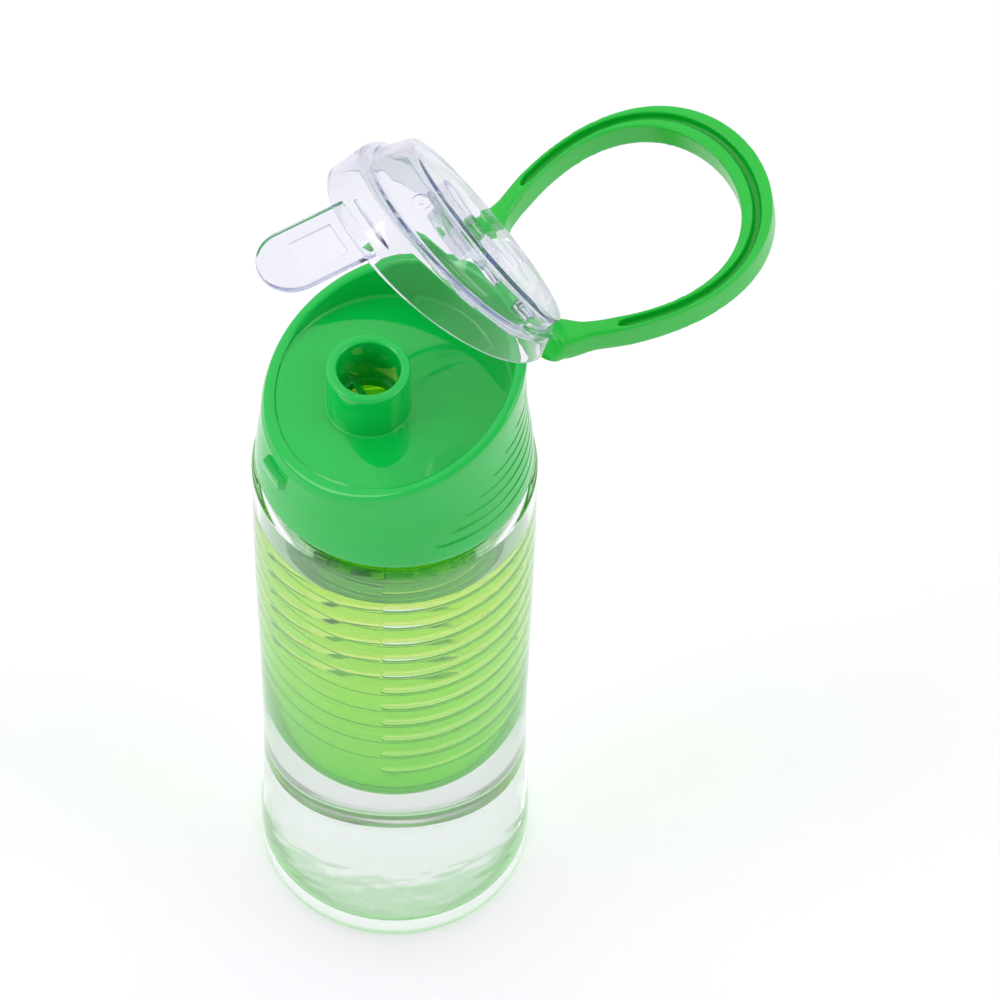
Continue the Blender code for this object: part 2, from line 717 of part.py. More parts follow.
def cover_barrel(side, start, end):
    """A barrel on the hinge axis, with a web that runs up into the skirt above it."""
    swings = [-math.pi * share for share in HALF_TURN_SHARES]
    points = [
        (HINGE_Y + BARREL_RADIUS * math.cos(swing), HINGE_HEIGHT + BARREL_RADIUS * math.sin(swing))
        for swing in swings
    ]
    points += [
        (HINGE_Y - BARREL_RADIUS, HINGE_HEIGHT + WEB_START),
        (HINGE_Y - WEB_TOP_INSET, HINGE_HEIGHT + WEB_RISE),
        (HINGE_Y + WEB_OUTSIDE, HINGE_HEIGHT + BARREL_RADIUS),
    ]
    return extruded(f"barrel_{side}", [(start, y, z) for y, z in points], (end - start, 0, 0))


def spout_seal(look):
    """Silicone disc and plug that shut the spout when the cover is down."""
    plug = SPOUT_BORE_RADIUS - SWING_GAP
    face = SPOUT_TOP + SLIDE_GAP
    outline = [
        (0, face - PLUG_DEPTH),
        (plug - PLUG_DRAFT, face - PLUG_DEPTH),
        (plug, face),
        (SEAL_RADIUS, face),
        (SEAL_RADIUS, face + SEAL_THICKNESS),
        (0, face + SEAL_THICKNESS),
    ]
    return turned("spout_seal", outline, look, steps=SPOUT_STEPS, middle=SPOUT_Y)


def loop_point(turn, side_inset, end_inset):
    """A point on the loop's egg-shaped outline, drawn in by a band width at the sides and at the end."""
    across = (LOOP_HALF_WIDTH - side_inset) * math.sin(turn) * (1 - LOOP_EGG_SHARE * math.cos(turn))
    along = LOOP_MIDDLE - (LOOP_HALF_LENGTH - end_inset) * math.cos(turn)
    return across, along


def loop_turn_at(along, end_inset):
    """The turn at which the outline has gone this far from the hinge."""
    return math.acos((LOOP_MIDDLE - along) / (LOOP_HALF_LENGTH - end_inset))


def carry_loop(look):
    low = BAND_TOP - BAND_DEPTH

    def arc(side_inset, end_inset, start, count):
        first = loop_turn_at(start, end_inset)
        turns = [first + (math.tau - 2 * first) * step / count for step in range(count + 1)]
        return [loop_point(turn, side_inset, end_inset) for turn in turns]

    outer = arc(0, 0, FOOT_FLARE, BAND_STEPS)
    inner = arc(BAND_SIDE, BAND_END, FOOT_FLARE, BAND_STEPS)[::-1]
    flare = FOOT_START + FLARE_INSET
    outline = [(FOOT_END, BAND_START)] + outer
    outline += [(-FOOT_END, BAND_START), (-FOOT_START, BAND_START), (-flare, FLARE_START)]
    outline += inner + [(flare, FLARE_START), (FOOT_START, BAND_START)]
    band = extruded("carry_loop", [(x, y, low) for x, y in outline], (0, 0, BAND_DEPTH), look)
    soften = band.modifiers.new("soft_edges", "BEVEL")
    soften.width = BAND_EDGE
    soften.segments = 1
    soften.limit_method = "ANGLE"
    soften.angle_limit = EDGE_ANGLE
    tools = []
    taper = [(FOOT_START, FOOT_RADIUS), (FOOT_END - FOOT_TAPER, FOOT_RADIUS), (FOOT_END, FOOT_END_RADIUS)]
    for side, way in (("right", 1), ("left", -1)):
        foot = rod(f"foot_{side}", [(way * x, radius) for x, radius in taper], 0, 0)
        tools.append(combine(band, foot, "UNION"))

    def bore(side, start, end):
        return rod(f"foot_bore_{side}", [(start, PIN_BORE_RADIUS), (end, PIN_BORE_RADIUS)], 0, 0)

    for tool in both_sides(bore, FOOT_START - OVERRUN, PIN_END + SEAT_GAP):
        tools.append(combine(band, tool, "DIFFERENCE"))
    tools.append(combine(band, loop_groove(), "DIFFERENCE"))
    return band, tools


def loop_groove():
    """The long groove in the band's upper face."""
    mesh = bmesh.new()
    first = loop_turn_at(LOOP_GROOVE_START, BAND_END / 2)
    sections = []
    for step in range(BAND_STEPS + 1):
        turn = first + (math.tau - 2 * first) * step / BAND_STEPS
        outer = loop_point(turn, 0, 0)
        inner = loop_point(turn, BAND_SIDE, BAND_END)
        span = math.dist(outer, inner)
        corners = []
        for side in (-1, 1):
            share = (1 + side * LOOP_GROOVE_WIDTH / span) / 2
            x = inner[0] + (outer[0] - inner[0]) * share
            y = inner[1] + (outer[1] - inner[1]) * share
            floor = (x, y, BAND_TOP - LOOP_GROOVE_DEPTH)
            roof = (x, y, BAND_TOP + OVERRUN)
            corners += [floor, roof] if side < 0 else [roof, floor]
        sections.append(corners)
    add_sweep(mesh, sections)
    return finished("loop_groove", mesh, None)


def slot_cutters():
    """Rows of level slots in panels, with a plain panel between one and the next."""
    mesh = bmesh.new()
    plain = PLAIN_WIDTH / BASKET_RADIUS
    panel = math.tau / SLOT_PANELS
    inside = BASKET_BORE_RADIUS - OVERRUN
    outside = BASKET_RADIUS + OVERRUN
    for side in range(SLOT_PANELS):
        start = FIRST_PLAIN_TURN + side * panel + plain / 2
        turns = [start + (panel - plain) * step / SLOT_STEPS for step in range(SLOT_STEPS + 1)]
        sector = [(inside, turn) for turn in turns] + [(outside, turn) for turn in turns[::-1]]
        for row in range(SLOT_ROWS):
            low = SLOT_START + row * SLOT_PITCH - SLOT_HEIGHT / 2
            levels = (low, low + SLOT_HEIGHT)
            add_sweep(mesh, [[around(radius, turn, level) for radius, turn in sector] for level in levels])
    return finished("slots", mesh, None)


def infuser_basket(look):
    """A long cup with a rounded bottom, open at the top, that fits over the lid's sleeve."""
    middle = BASKET_BOTTOM + BASKET_CORNER
    top = LID_CEILING - BASKET_GAP

    def corner(size):
        centre = BASKET_RADIUS - BASKET_CORNER
        turns = [math.pi / 2 * step / CORNER_STEPS for step in range(CORNER_STEPS + 1)]
        return [(centre + size * math.sin(turn), middle - size * math.cos(turn)) for turn in turns]

    outer = [(0, BASKET_BOTTOM)] + corner(BASKET_CORNER)
    rim = [(BASKET_RADIUS, top), (BASKET_BORE_RADIUS, top)]
    inner = corner(BASKET_CORNER - BASKET_WALL)[::-1] + [(0, BASKET_BOTTOM + BASKET_WALL)]
    basket = turned("infuser_basket", outer + rim + inner, look, steps=BASKET_STEPS)
    combine(basket, slot_cutters(), "DIFFERENCE")
    return basket


def empty(name, y, height):
    """A pivot that moving pieces hang from."""
    pivot = bpy.data.objects.new(name, None)
    bpy.context.scene.collection.objects.link(pivot)
    pivot.location = (0, y, height)
    return pivot


def swing_about_hinge(pivot, shapes):
    """Hang shapes that were modelled in place on the pivot, before it is turned."""
    for shape in shapes:
        shape.location = (0, -HINGE_Y, -HINGE_HEIGHT)
        shape.parent = pivot


def main():
    for old in list(bpy.data.objects):
        bpy.data.objects.remove(old)
    clear = material("clear_plastic", (0.93, 0.96, 0.95), 0.05, transmission=1.0)
    cover_clear = material("cover_plastic", (0.93, 0.94, 0.97), 0.06, transmission=1.0)
    green = material("green_plastic", (0.03, 0.50, 0.09), 0.35)
    loop_green = material("loop_plastic", (0.04, 0.50, 0.08), 0.30)
    tinted = material("tinted_plastic", (0.55, 0.85, 0.20), 0.12, transmission=0.8)
    silicone = material("silicone", (0.85, 0.88, 0.86), 0.45, transmission=0.4)

    bottle_body(clear)
    lid(green)
    lid_gasket(silicone)
    hinge_pin(cover_clear)
    infuser_basket(tinted)

    cover, cover_tools = flip_cover(cover_clear)
    seal = spout_seal(silicone)
    cover_pivot = empty("cover_pivot", HINGE_Y, HINGE_HEIGHT)
    swing_about_hinge(cover_pivot, [cover, seal, *cover_tools])
    cover_pivot.rotation_euler.x = -COVER_OPEN

    loop, loop_tools = carry_loop(loop_green)
    loop_pivot = empty("loop_pivot", HINGE_Y, HINGE_HEIGHT)
    for shape in (loop, *loop_tools):
        shape.parent = loop_pivot
    loop_pivot.rotation_euler.x = LOOP_RISE


main()
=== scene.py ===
"""Looks for the infuser drinking bottle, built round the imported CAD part.

Metres, +Z up, the foot's centre at the origin, the front at -Y and the hinge at the back along X.
Turns are measured from the front, towards +X, seen from above.
"""

import math

import bmesh
import bpy
from mathutils import Matrix, Vector


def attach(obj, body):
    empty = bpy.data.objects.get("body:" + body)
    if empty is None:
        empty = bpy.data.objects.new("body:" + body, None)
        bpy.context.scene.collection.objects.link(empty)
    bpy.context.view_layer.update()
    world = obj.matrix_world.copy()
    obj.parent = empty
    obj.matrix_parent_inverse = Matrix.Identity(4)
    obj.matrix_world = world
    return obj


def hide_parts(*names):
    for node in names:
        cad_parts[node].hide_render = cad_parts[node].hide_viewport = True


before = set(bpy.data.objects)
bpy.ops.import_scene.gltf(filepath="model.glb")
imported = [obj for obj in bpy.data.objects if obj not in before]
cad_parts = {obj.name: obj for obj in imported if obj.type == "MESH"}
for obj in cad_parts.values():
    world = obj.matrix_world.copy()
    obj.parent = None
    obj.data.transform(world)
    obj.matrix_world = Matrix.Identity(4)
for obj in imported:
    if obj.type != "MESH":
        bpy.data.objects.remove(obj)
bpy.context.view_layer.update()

# Fineness
STEPS = 192
FINE_STEPS = 96
MERGE = 0.000002
SHARP = math.radians(34)
EMBED = 0.0005
OVERRUN = 0.002
EASE_SHARE = 0.49
EASE_LEAST = 1e-9
BEVEL_WIDTH = 0.0003
THIN_BEVEL_WIDTH = 0.0002
BEVEL_SEGMENTS = 3

# Bottle body
BODY_RADIUS = 0.0365
BASE_RADIUS = 0.0362
WAIST_RADIUS = 0.0351
WAIST_HEIGHT = 0.049
BASE_TOP = 0.012
BASE_FILLET = 0.003
FULL_HEIGHT = 0.150
SHOULDER_FILLET = 0.0038
BODY_WALL = 0.0019
WALL_STEPS = 36
RUN_GAP = 0.0002
FOOT_RUN_GAP = 0.0005
FLOOR_THICKNESS = 0.005
FLOOR_FILLET = 0.006
PUNT_RISE = 0.0007
PUNT_RADIUS = 0.0336
PUNT_STEPS = 14
PUNT_EDGE = 0.0008
PUNT_EDGE_ROUND = 0.0004
NECK_FOOT = 0.1724
NECK_RADIUS = 0.0312
NECK_BORE_RADIUS = 0.0294
NECK_TOP = 0.1924
NECK_FOOT_ROUND = 0.0008
NECK_TOP_ROUND = 0.0005
NECK_THREAD_TURNS = 1.6

# Drink
DRINK_LEVEL = 0.1585
DRINK_IN_WALL = 0.0003
MENISCUS = 0.0010
# How far in from the edge, and which share of the meniscus is left there
MENISCUS_SHAPE = ((0.0, 1.0), (0.0009, 0.35), (0.0020, 0.08), (0.0035, 0.0))

# Thread
THREAD_PITCH = 0.004
THREAD_DEPTH = 0.0011
THREAD_ROOT_WIDTH = 0.002
THREAD_CREST_WIDTH = 0.0009
THREAD_START = 0.179
THREAD_STEPS = 72
THREAD_FADE = 6
THREAD_LEAST = 0.05

# Lid
COLLAR_BOTTOM = 0.175
COLLAR_BOTTOM_RADIUS = 0.0356
COLLAR_TAPER_HEIGHT = 0.032
COLLAR_SHAPE = ((0.0, 0.0), (0.15, 0.12), (0.35, 0.37), (0.56, 0.70), (0.78, 0.92), (1.0, 1.0))
RIM_RADIUS = 0.0332
RIM_WIDTH = 0.003
RIM_MIDDLE = 0.2094
RIM_SLOPE = math.tan(math.radians(20.8))
LIP_ROUND = 0.0011
LIP_STEP = 0.0004
LIP_LEAST = 0.0002
LIP_SHARE = 0.5
HOLLOW_ROUND = 0.0009
HOLLOW_SHARE = 0.45
LID_BORE_RADIUS = 0.0326
LID_CEILING = 0.1944
LID_THREAD_TURNS = 1.1
COLLAR_FOOT_ROUND = 0.0006
COLLAR_FOOT_EASE = 0.0002
COLLAR_BORE_ROUND = 0.0004
DECK_UNDERSIDE = 0.197
DECK_HEIGHT = 0.202
DECK_THICKNESS = 0.0024
DECK_BLEND = 0.002
DECK_LEAST = 0.0016
DECK_CORNER = 0.0006
DECK_POCKET_RADIUS = 0.020
DECK_POCKET_TAPER = 0.0004
SLEEVE_RADIUS = 0.0270
SLEEVE_WALL = 0.0015
SLEEVE_BOTTOM = 0.184
SLEEVE_ROUND = 0.0003

# Spout
SPOUT_Y = -0.0074
SPOUT_RADIUS = 0.01055
SPOUT_BORE_RADIUS = 0.008
SPOUT_TOP = 0.2172
SPOUT_LIP = 0.0008
SPOUT_FOOT = 0.0008
SPOUT_FOOT_SINK = 0.0001
SPOUT_FOOT_ROUND = 0.0006
STRAINER_RADIUS = 0.0072
STRAINER_BAR = 0.0018

# Grip grooves
GROOVES = 8
GROOVE_START = 0.1813
GROOVE_PITCH = 0.004
GROOVE_WIDTH = 0.0012
GROOVE_DEPTH = 0.0006
GROOVE_FIRST_Y = -0.008
GROOVE_LEAN = 1.16
GROOVE_FADE = math.radians(5)
GROOVE_LEAST_DEPTH = 0.01
GROOVE_LEAST_WIDTH = 0.05

# Latch nub
NUB_HALF_WIDTH = 0.0052
NUB_BOTTOM = 0.188
NUB_HEIGHT = 0.0036
NUB_REACH = 0.0012
NUB_CHAMFER = 0.0012

# Hinge
HINGE_Y = 0.0347
HINGE_HEIGHT = 0.2206115
COVER_OPEN = math.radians(68)
BARREL_RADIUS = 0.0032
LUG_HALF_WIDTH = 0.004
LUG_ROOT = 0.0018
LUG_FOOT_DROP = 0.0110
LUG_HEEL_DROP = 0.0050
BARREL_START = 0.0043
BARREL_END = 0.0109
WEB_START = 0.0024
WEB_RISE = 0.0048
WEB_TOP_INSET = 0.0034
WEB_OUTSIDE = 0.0012
PIN_BORE_RADIUS = 0.00135
SWING_GAP = 0.0004
NOTCH_HALF_LENGTH = 0.0145

# Flip cover, shut
COVER_WALL = 0.0018
COVER_RIM_RADIUS = 0.0342
COVER_RIM_MIDDLE = 0.2099
COVER_RIM_ROUND = 0.0007
COVER_RUN = 0.002
SHOULDER_RADIUS = 0.0326
SHOULDER_Y = -0.0027
SHOULDER_MIDDLE = 0.2182
SHOULDER_SLOPE = math.tan(math.radians(14.6))
SHOULDER_ROUND = 0.0016
TIER_ROUND = 0.0010
TIER_RADIUS = 0.0302
TIER_Y = -0.0019
TIER_MIDDLE = 0.2195
TOP_RADIUS = 0.0291
TOP_Y = 0.0005
TOP_MIDDLE = 0.2251
TOP_SLOPE = math.tan(math.radians(7.0))
TOP_ROUND = 0.0013
TOP_INNER_ROUND = 0.0008
TOP_FLAT_SHARE = 0.4
TOP_FLAT_SLOPE_SHARE = 0.5
TIER_WALL_LEAN = math.radians(19.8)
TIER_MARK_X = 0.0018
TIER_MARK_Y = -0.0304
TIER_MARK_HEIGHT = 0.2164
TIER_MARK_RADIUS = 0.0024
TIER_MARK_DEPTH = 0.0003
TIER_MARK_CLEAR = 0.0008
TIER_DOT_RADIUS = 0.0006
CUP_WALL = 0.0016
CUP_DROP = 0.0008
CUP_ROUND = 0.0004
SEAL_RADIUS = 0.0096
SEAL_THICKNESS = 0.003
PLUG_DEPTH = 0.003
PLUG_DRAFT = 0.0006
PLUG_TIP_ROUND = 0.0005
PLUG_ROOT_ROUND = 0.0002
SEAT_GAP = 0.0003
SLIDE_GAP = 0.0004

# Tab
TAB_HALF_WIDTH = 0.0090
TAB_LENGTH = 0.0245
TAB_ROOT = 0.0030
TAB_THICKNESS = 0.0022
TAB_LEAN = math.radians(18)
TAB_EDGE = 0.0007
TAB_RISE = 0.0005
WINDOW_HALF_WIDTH = 0.0048
WINDOW_TOP = 0.0026
WINDOW_LENGTH = 0.0115
WINDOW_DEPTH = 0.0010
CATCH_HALF_LENGTH = 0.0082
CATCH_RISE = 0.0055
CATCH_SIZE = 0.0014

# Carry loop
LOOP_RISE = math.radians(8.9)
LOOP_HALF_WIDTH = 0.0301
LOOP_HALF_LENGTH = 0.04305
LOOP_MIDDLE = 0.0273
LOOP_EGG = 0.27
LOOP_STEPS = 120
BAND_SIDE = 0.0042
BAND_END = 0.0088
BAND_TOP = 0.005
BAND_DEPTH = 0.008
BAND_START = 0.0015
FOOT_START = 0.0112
FOOT_END = 0.0225
FOOT_RADIUS = 0.0039
FOOT_END_RADIUS = 0.0018
FOOT_TAPER = 0.0032
FOOT_FLARE = 0.009
FLARE_INSET = 0.0042
FLARE_START = 0.0055
LOOP_GROOVE_WIDTH = 0.0022
LOOP_GROOVE_DEPTH = 0.0025
LOOP_GROOVE_START = 0.016
LOOP_GROOVE_TIP = 0.35
LOOP_VOXEL = 0.00033
SOFT_FACTOR = 0.5
LOOP_SOFT_ROUNDS = 14
FOOT_SOFT_START = 0.010
FOOT_SOFT_END = 0.017
FOOT_SOFT_ROUNDS = 60

# Basket
BASKET_RADIUS = 0.0288
BASKET_BORE_RADIUS = 0.0274
BASKET_WALL = 0.0014
BASKET_BOTTOM = 0.0495
BASKET_CORNER = 0.0278
CORNER_STEPS = 40
BASKET_TOP = 0.1938
SLOT_ROWS = 12
SLOT_START = 0.0755
SLOT_PITCH = 0.0076
SLOT_HEIGHT = 0.0026
SLOT_PANELS = 2
FIRST_PLAIN_TURN = math.radians(8)
PLAIN_WIDTH = 0.047
SLOT_STEPS = 60
SLOT_LEAST = 0.02
BAND_LOW = 0.0017
BAND_HIGH = 0.0019
BAND_EASE = 0.0010
BAND_INSET = 0.0004
BAND_ROUND = 0.0004
BAND_EDGE_ROUND = 0.00012
BAND_ROOT_ROUND = 0.0001
BAND_EDGE_RISE = BAND_INSET / 3
BANDS_ABOVE = 3
GATE_RADIUS = 0.0011
GATE_DEPTH = 0.0005

# Materials
TONE_ENDS = (0.3, 0.7)
TONE_DETAIL = 3.0
GLOSS_FINER = 3.1
GLOSS_DETAIL = 4.0
RELIEF_DETAIL = 2.0
SWELL_DETAIL = 1.0

# Floor, lamps and camera
FLOOR_REACH = 6.0
FLOOR_DROP = 0.0002
FLOOR_COLOUR = (0.91, 0.885, 0.92, 1)
FLOOR_ROUGHNESS = 0.9
FLOOR_SHEEN = 0.1
LAMP_AIM = 0.14
LAMP_DISTANCE = 1.1
LAMP_ELEVATION = math.radians(40)
LAMP_TALL = 0.7
SKY_LOW = -0.2
SKY_LOW_COLOUR = (0.62, 0.63, 0.68, 1)
SKY_HIGH = 0.6
SKY_HIGH_COLOUR = (0.985, 0.985, 1, 1)
# The room is dimmer round this direction, from which the bottle is looked at.
DIM_SIDE = (0.52, -0.30, 0.80)
DIM_START = 0.55
DIM_FULL = 0.95
SKY_STRENGTH = 1.20
DIM_STRENGTH = 0.50
BOUNCES = 128
CLEAR_BOUNCES = 48
VIEW_AZIMUTH = math.radians(60)
VIEW_ELEVATION = math.radians(55.28)
VIEW_ROLL = math.radians(1.06)
VIEW_DISTANCE = 2.02718
VIEW_SIDE = 0.02702
VIEW_HEIGHT = 0.1549
LENS = 284.47
SENSOR = 36
CLIP_START = 0.05
CLIP_END = 50


# Mesh helpers


def eased(corners, count=5):
    """Corner points, each with how far from it its rounding starts, as one smooth run of points."""
    points = [Vector(corner[:-1]) for corner in corners]
    run = []
    for index, corner in enumerate(corners):
        here = points[index]
        size = corner[-1]
        if not size or index in (0, len(corners) - 1):
            run.append(here)
            continue
        back = points[index - 1] - here
        on = points[index + 1] - here
        size = min(size, back.length * EASE_SHARE, on.length * EASE_SHARE)
        back.normalize()
        on.normalize()
        start = here + back * size
        end = here + on * size
        pull = math.sqrt(max((1 - back.dot(on)) / 2, EASE_LEAST))
        for step in range(count + 1):
            s = step / count
            a, b, c = (1 - s) ** 2, 2 * s * (1 - s) * pull, s * s
            run.append((start * a + here * b + end * c) / (a + b + c))
    return run


def ring(radius, height, middle=0.0, tilt=0.0, steps=STEPS):
    """A circle of points; tilt is how much lower its front point is than its centre."""
    if radius < MERGE:
        return [(0, middle, height)]
    turns = [math.tau * step / steps for step in range(steps)]
    return [
        (radius * math.sin(turn), middle - radius * math.cos(turn), height - tilt * math.cos(turn))
        for turn in turns
    ]


def skin(rows, ring_shut=False):
    """Faces between rows of points. A row of one point is a pole."""
    mesh = bmesh.new()
    made = [[mesh.verts.new(point) for point in row] for row in rows]
    pairs = list(zip(made, made[1:]))
    if ring_shut:
        pairs.append((made[-1], made[0]))
    for near, far in pairs:
        for step in range(max(len(near), len(far))):
            corners = (
                near[step % len(near)],
                near[(step + 1) % len(near)],
                far[(step + 1) % len(far)],
                far[step % len(far)],
            )
            face = list(dict.fromkeys(corners))
            if len(face) > 2:
                mesh.faces.new(face)
    if not ring_shut:
        for end in (made[0], made[-1]):
            if len(end) > 2:
                mesh.faces.new(end)
    return mesh


def add_sweep(mesh, sections):
    """Join sections with the same number of corners into one capped body."""
    loops = [[mesh.verts.new(corner) for corner in section] for section in sections]
    for near, far in zip(loops, loops[1:]):
        for side in range(len(near)):
            after = (side + 1) % len(near)
            mesh.faces.new((near[side], near[after], far[after], far[side]))
    mesh.faces.new(loops[0])
    mesh.faces.new(loops[-1])


def made(name, mesh):
    """A bmesh as an object with outward faces."""
    bmesh.ops.remove_doubles(mesh, verts=mesh.verts, dist=MERGE)
    bmesh.ops.dissolve_degenerate(mesh, edges=mesh.edges, dist=MERGE)
    bmesh.ops.recalc_face_normals(mesh, faces=mesh.faces)
    data = bpy.data.meshes.new(name)
    mesh.to_mesh(data)
    mesh.free()
    shape = bpy.data.objects.new(name, data)
    bpy.context.scene.collection.objects.link(shape)
    return shape


def settle(shape):
    """Write the modifiers into the mesh."""
    graph = bpy.context.evaluated_depsgraph_get()
    data = bpy.data.meshes.new_from_object(shape.evaluated_get(graph), depsgraph=graph)
    shape.modifiers.clear()
    old = shape.data
    shape.data = data
    bpy.data.meshes.remove(old)
    return shape


def combine(shape, operation, *tools):
    """Add or cut with tools, which are used up."""
    for tool in tools:
        change = shape.modifiers.new(tool.name, "BOOLEAN")
        change.operation = operation
        change.solver = "EXACT"
        change.object = tool
    settle(shape)
    for tool in tools:
        bpy.data.objects.remove(tool)
    return shape


def soften(shape, width, segments):
    """Round the sharp edges a little."""
    bevel = shape.modifiers.new("soft_edges", "BEVEL")
    bevel.width = width
    bevel.segments = segments
    bevel.limit_method = "ANGLE"
    bevel.angle_limit = SHARP
    return settle(shape)


def extruded(name, points, reach):
    """A flat outline drawn out along reach."""
    mesh = bmesh.new()
    base = mesh.faces.new([mesh.verts.new(point) for point in points])
    grown = bmesh.ops.extrude_face_region(mesh, geom=[base])
    moved = [item for item in grown["geom"] if isinstance(item, bmesh.types.BMVert)]
    bmesh.ops.translate(mesh, verts=moved, vec=reach)
    return made(name, mesh)


def rod(name, profile, y=HINGE_Y, height=HINGE_HEIGHT, steps=48):
    """A round bar along X, from distance and radius pairs."""
    turns = [math.tau * step / steps for step in range(steps)]
    rows = []
    for x, radius in profile:
        rows.append([(x, y + radius * math.cos(turn), height + radius * math.sin(turn)) for turn in turns])
    return made(name, skin(rows))


def bar(name, start, end, radius):
    """A plain round bar on the hinge's axis."""
    return rod(name, [(start, radius), (end, radius)])


def around(radius, turn, height):
    """The point at a turn and a height, radius away from the bottle's axis."""
    return (radius * math.sin(turn), -radius * math.cos(turn), height)


def helix(name, root, crest, height, turns):
    """A thread ridge that climbs one pitch a turn and fades at both ends."""
    mesh = bmesh.new()
    sections = []
    count = round(turns * THREAD_STEPS)
    for step in range(count + 1):
        turn = math.tau * step / THREAD_STEPS
        fade = min(1.0, THREAD_FADE * min(step, count - step) / THREAD_STEPS + THREAD_LEAST)
        peak = root + (crest - root) * fade
        level = height + THREAD_PITCH * step / THREAD_STEPS
        sections.append(
            [
                around(root, turn, level - THREAD_ROOT_WIDTH / 2),
                around(peak, turn, level - THREAD_CREST_WIDTH / 2),
                around(peak, turn, level + THREAD_CREST_WIDTH / 2),
                around(root, turn, level + THREAD_ROOT_WIDTH / 2),
            ]
        )
    add_sweep(mesh, sections)
    return made(name, mesh)


def finish_piece(shape, look, body, slot, *replaced):
    """Shade it smooth where it is round, give it its material and hang it on its body."""
    data = shape.data
    data.shade_smooth()
    data.set_sharp_from_angle(angle=SHARP)
    data.materials.clear()
    data.materials.append(look)
    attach(shape, body)
    if replaced:
        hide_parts(*replaced)
    return shape


# Materials


def socket(shader, name, value):
    shader.inputs[name].default_value = value


def shade(nodes, links, kind, settings, sources):
    """A new node, with plain values on some of its inputs and links into others."""
    node = nodes.new(kind)
    for name, value in settings.items():
        node.inputs[name].default_value = value
    for name, output in sources.items():
        links.new(output, node.inputs[name])
    return node


def plastic(
    name, dark, light, roughness, bump=None, transmission=0.0, ior=1.5, scale=60.0,
    lets_light=None, depth=None, low=None, low_swell=None,
):
    """Moulded plastic: colour drifts between two close tones, roughness and surface vary finely.

    bump: strength, depth and fineness of the surface's unevenness.
    lets_light: the colour in which light falls through it, instead of a black shadow.
    depth: colour and density of what is inside, so that thick places look deeper.
    low: below the first height the colour is this one, above the second it is the plain one.
    low_swell: fineness and depth of a coarser unevenness where low holds.
    """
    look = bpy.data.materials.new(name)
    look.use_nodes = True
    nodes, links = look.node_tree.nodes, look.node_tree.links
    shader, output = nodes["Principled BSDF"], nodes["Material Output"]
    socket(shader, "Transmission Weight", transmission)
    socket(shader, "IOR", ior)
    place = nodes.new("ShaderNodeTexCoord").outputs["Object"]

    def add(kind, settings, sources):
        return shade(nodes, links, kind, settings, sources)

    def noise(size, detail):
        return add("ShaderNodeTexNoise", {"Scale": size, "Detail": detail}, {"Vector": place}).outputs["Fac"]

    ramp = add("ShaderNodeValToRGB", {}, {"Fac": noise(scale, TONE_DETAIL)})
    for element, position, colour in zip(ramp.color_ramp.elements, TONE_ENDS, (dark, light)):
        element.position = position
        element.color = (*colour, 1)
    colour = ramp.outputs["Color"]
    if low:
        height = add("ShaderNodeSeparateXYZ", {}, {"Vector": place}).outputs["Z"]
        climb = add("ShaderNodeMapRange", {"From Min": low[0], "From Max": low[1]}, {"Value": height})
        climb = climb.outputs["Result"]
        shift = nodes.new("ShaderNodeMix")
        shift.data_type = "RGBA"
        shift.inputs["A"].default_value = (*low[2], 1)
        links.new(climb, shift.inputs["Factor"])
        links.new(colour, shift.inputs["B"])
        colour = shift.outputs["Result"]
    links.new(colour, shader.inputs["Base Color"])
    gloss = noise(scale * GLOSS_FINER, GLOSS_DETAIL)
    spread = add("ShaderNodeMapRange", {"To Min": roughness[0], "To Max": roughness[1]}, {"Value": gloss})
    links.new(spread.outputs["Result"], shader.inputs["Roughness"])
    if bump:
        relief = noise(bump[2], RELIEF_DETAIL)
        if low_swell:
            fade = add("ShaderNodeMapRange", {"To Min": low_swell[1], "To Max": 0.0}, {"Value": climb})
            swell = noise(low_swell[0], SWELL_DETAIL)
            uneven = nodes.new("ShaderNodeMath")
            uneven.operation = "MULTIPLY_ADD"
            for index, value in enumerate((swell, fade.outputs["Result"], relief)):
                links.new(value, uneven.inputs[index])
            relief = uneven.outputs["Value"]
        surface = add("ShaderNodeBump", {"Strength": bump[0], "Distance": bump[1]}, {"Height": relief})
        links.new(surface.outputs["Normal"], shader.inputs["Normal"])
    if lets_light:
        in_shadow = nodes.new("ShaderNodeLightPath").outputs["Is Shadow Ray"]
        clear = add("ShaderNodeBsdfTransparent", {"Color": (*lets_light, 1)}, {}).outputs["BSDF"]
        mix = add("ShaderNodeMixShader", {}, {"Fac": in_shadow, 1: shader.outputs["BSDF"], 2: clear})
        links.new(mix.outputs["Shader"], output.inputs["Surface"])
    if depth:
        tint = add("ShaderNodeVolumeAbsorption", {"Color": (*depth[0], 1), "Density": depth[1]}, {})
        links.new(tint.outputs["Volume"], output.inputs["Volume"])
    return look


clear_look = plastic(
    "clear_body",
    dark=(0.955, 0.975, 0.965), light=(0.985, 0.992, 0.988), roughness=(0.0, 0.02), bump=(0.03, 0.0002, 90.0),
    transmission=1.0, ior=1.49, scale=35.0, lets_light=(0.975, 0.975, 0.975),
    # Painted light: below 3 mm the bottle's underside is tinted green. This paints in the green light that falls
    # through the basket onto the floor under the bottle.
    low=(0.0015, 0.0030, (0.30, 0.72, 0.27)), low_swell=(150.0, 14.0),
)
cover_look = plastic(
    "clear_cover",
    dark=(0.865, 0.875, 0.900), light=(0.890, 0.900, 0.922), roughness=(0.0, 0.03), bump=(0.04, 0.0002, 120.0),
    transmission=1.0, ior=1.50, scale=45.0, lets_light=(0.93, 0.935, 0.95), depth=((0.45, 0.50, 0.74), 35.0),
)
drink_look = plastic(
    "drink_water",
    dark=(0.985, 0.995, 0.985), light=(0.995, 0.999, 0.995), roughness=(0.0, 0.004),
    transmission=1.0, ior=1.333, scale=20.0, lets_light=(0.99, 0.992, 0.991), depth=((0.25, 0.32, 0.25), 3.0),
)
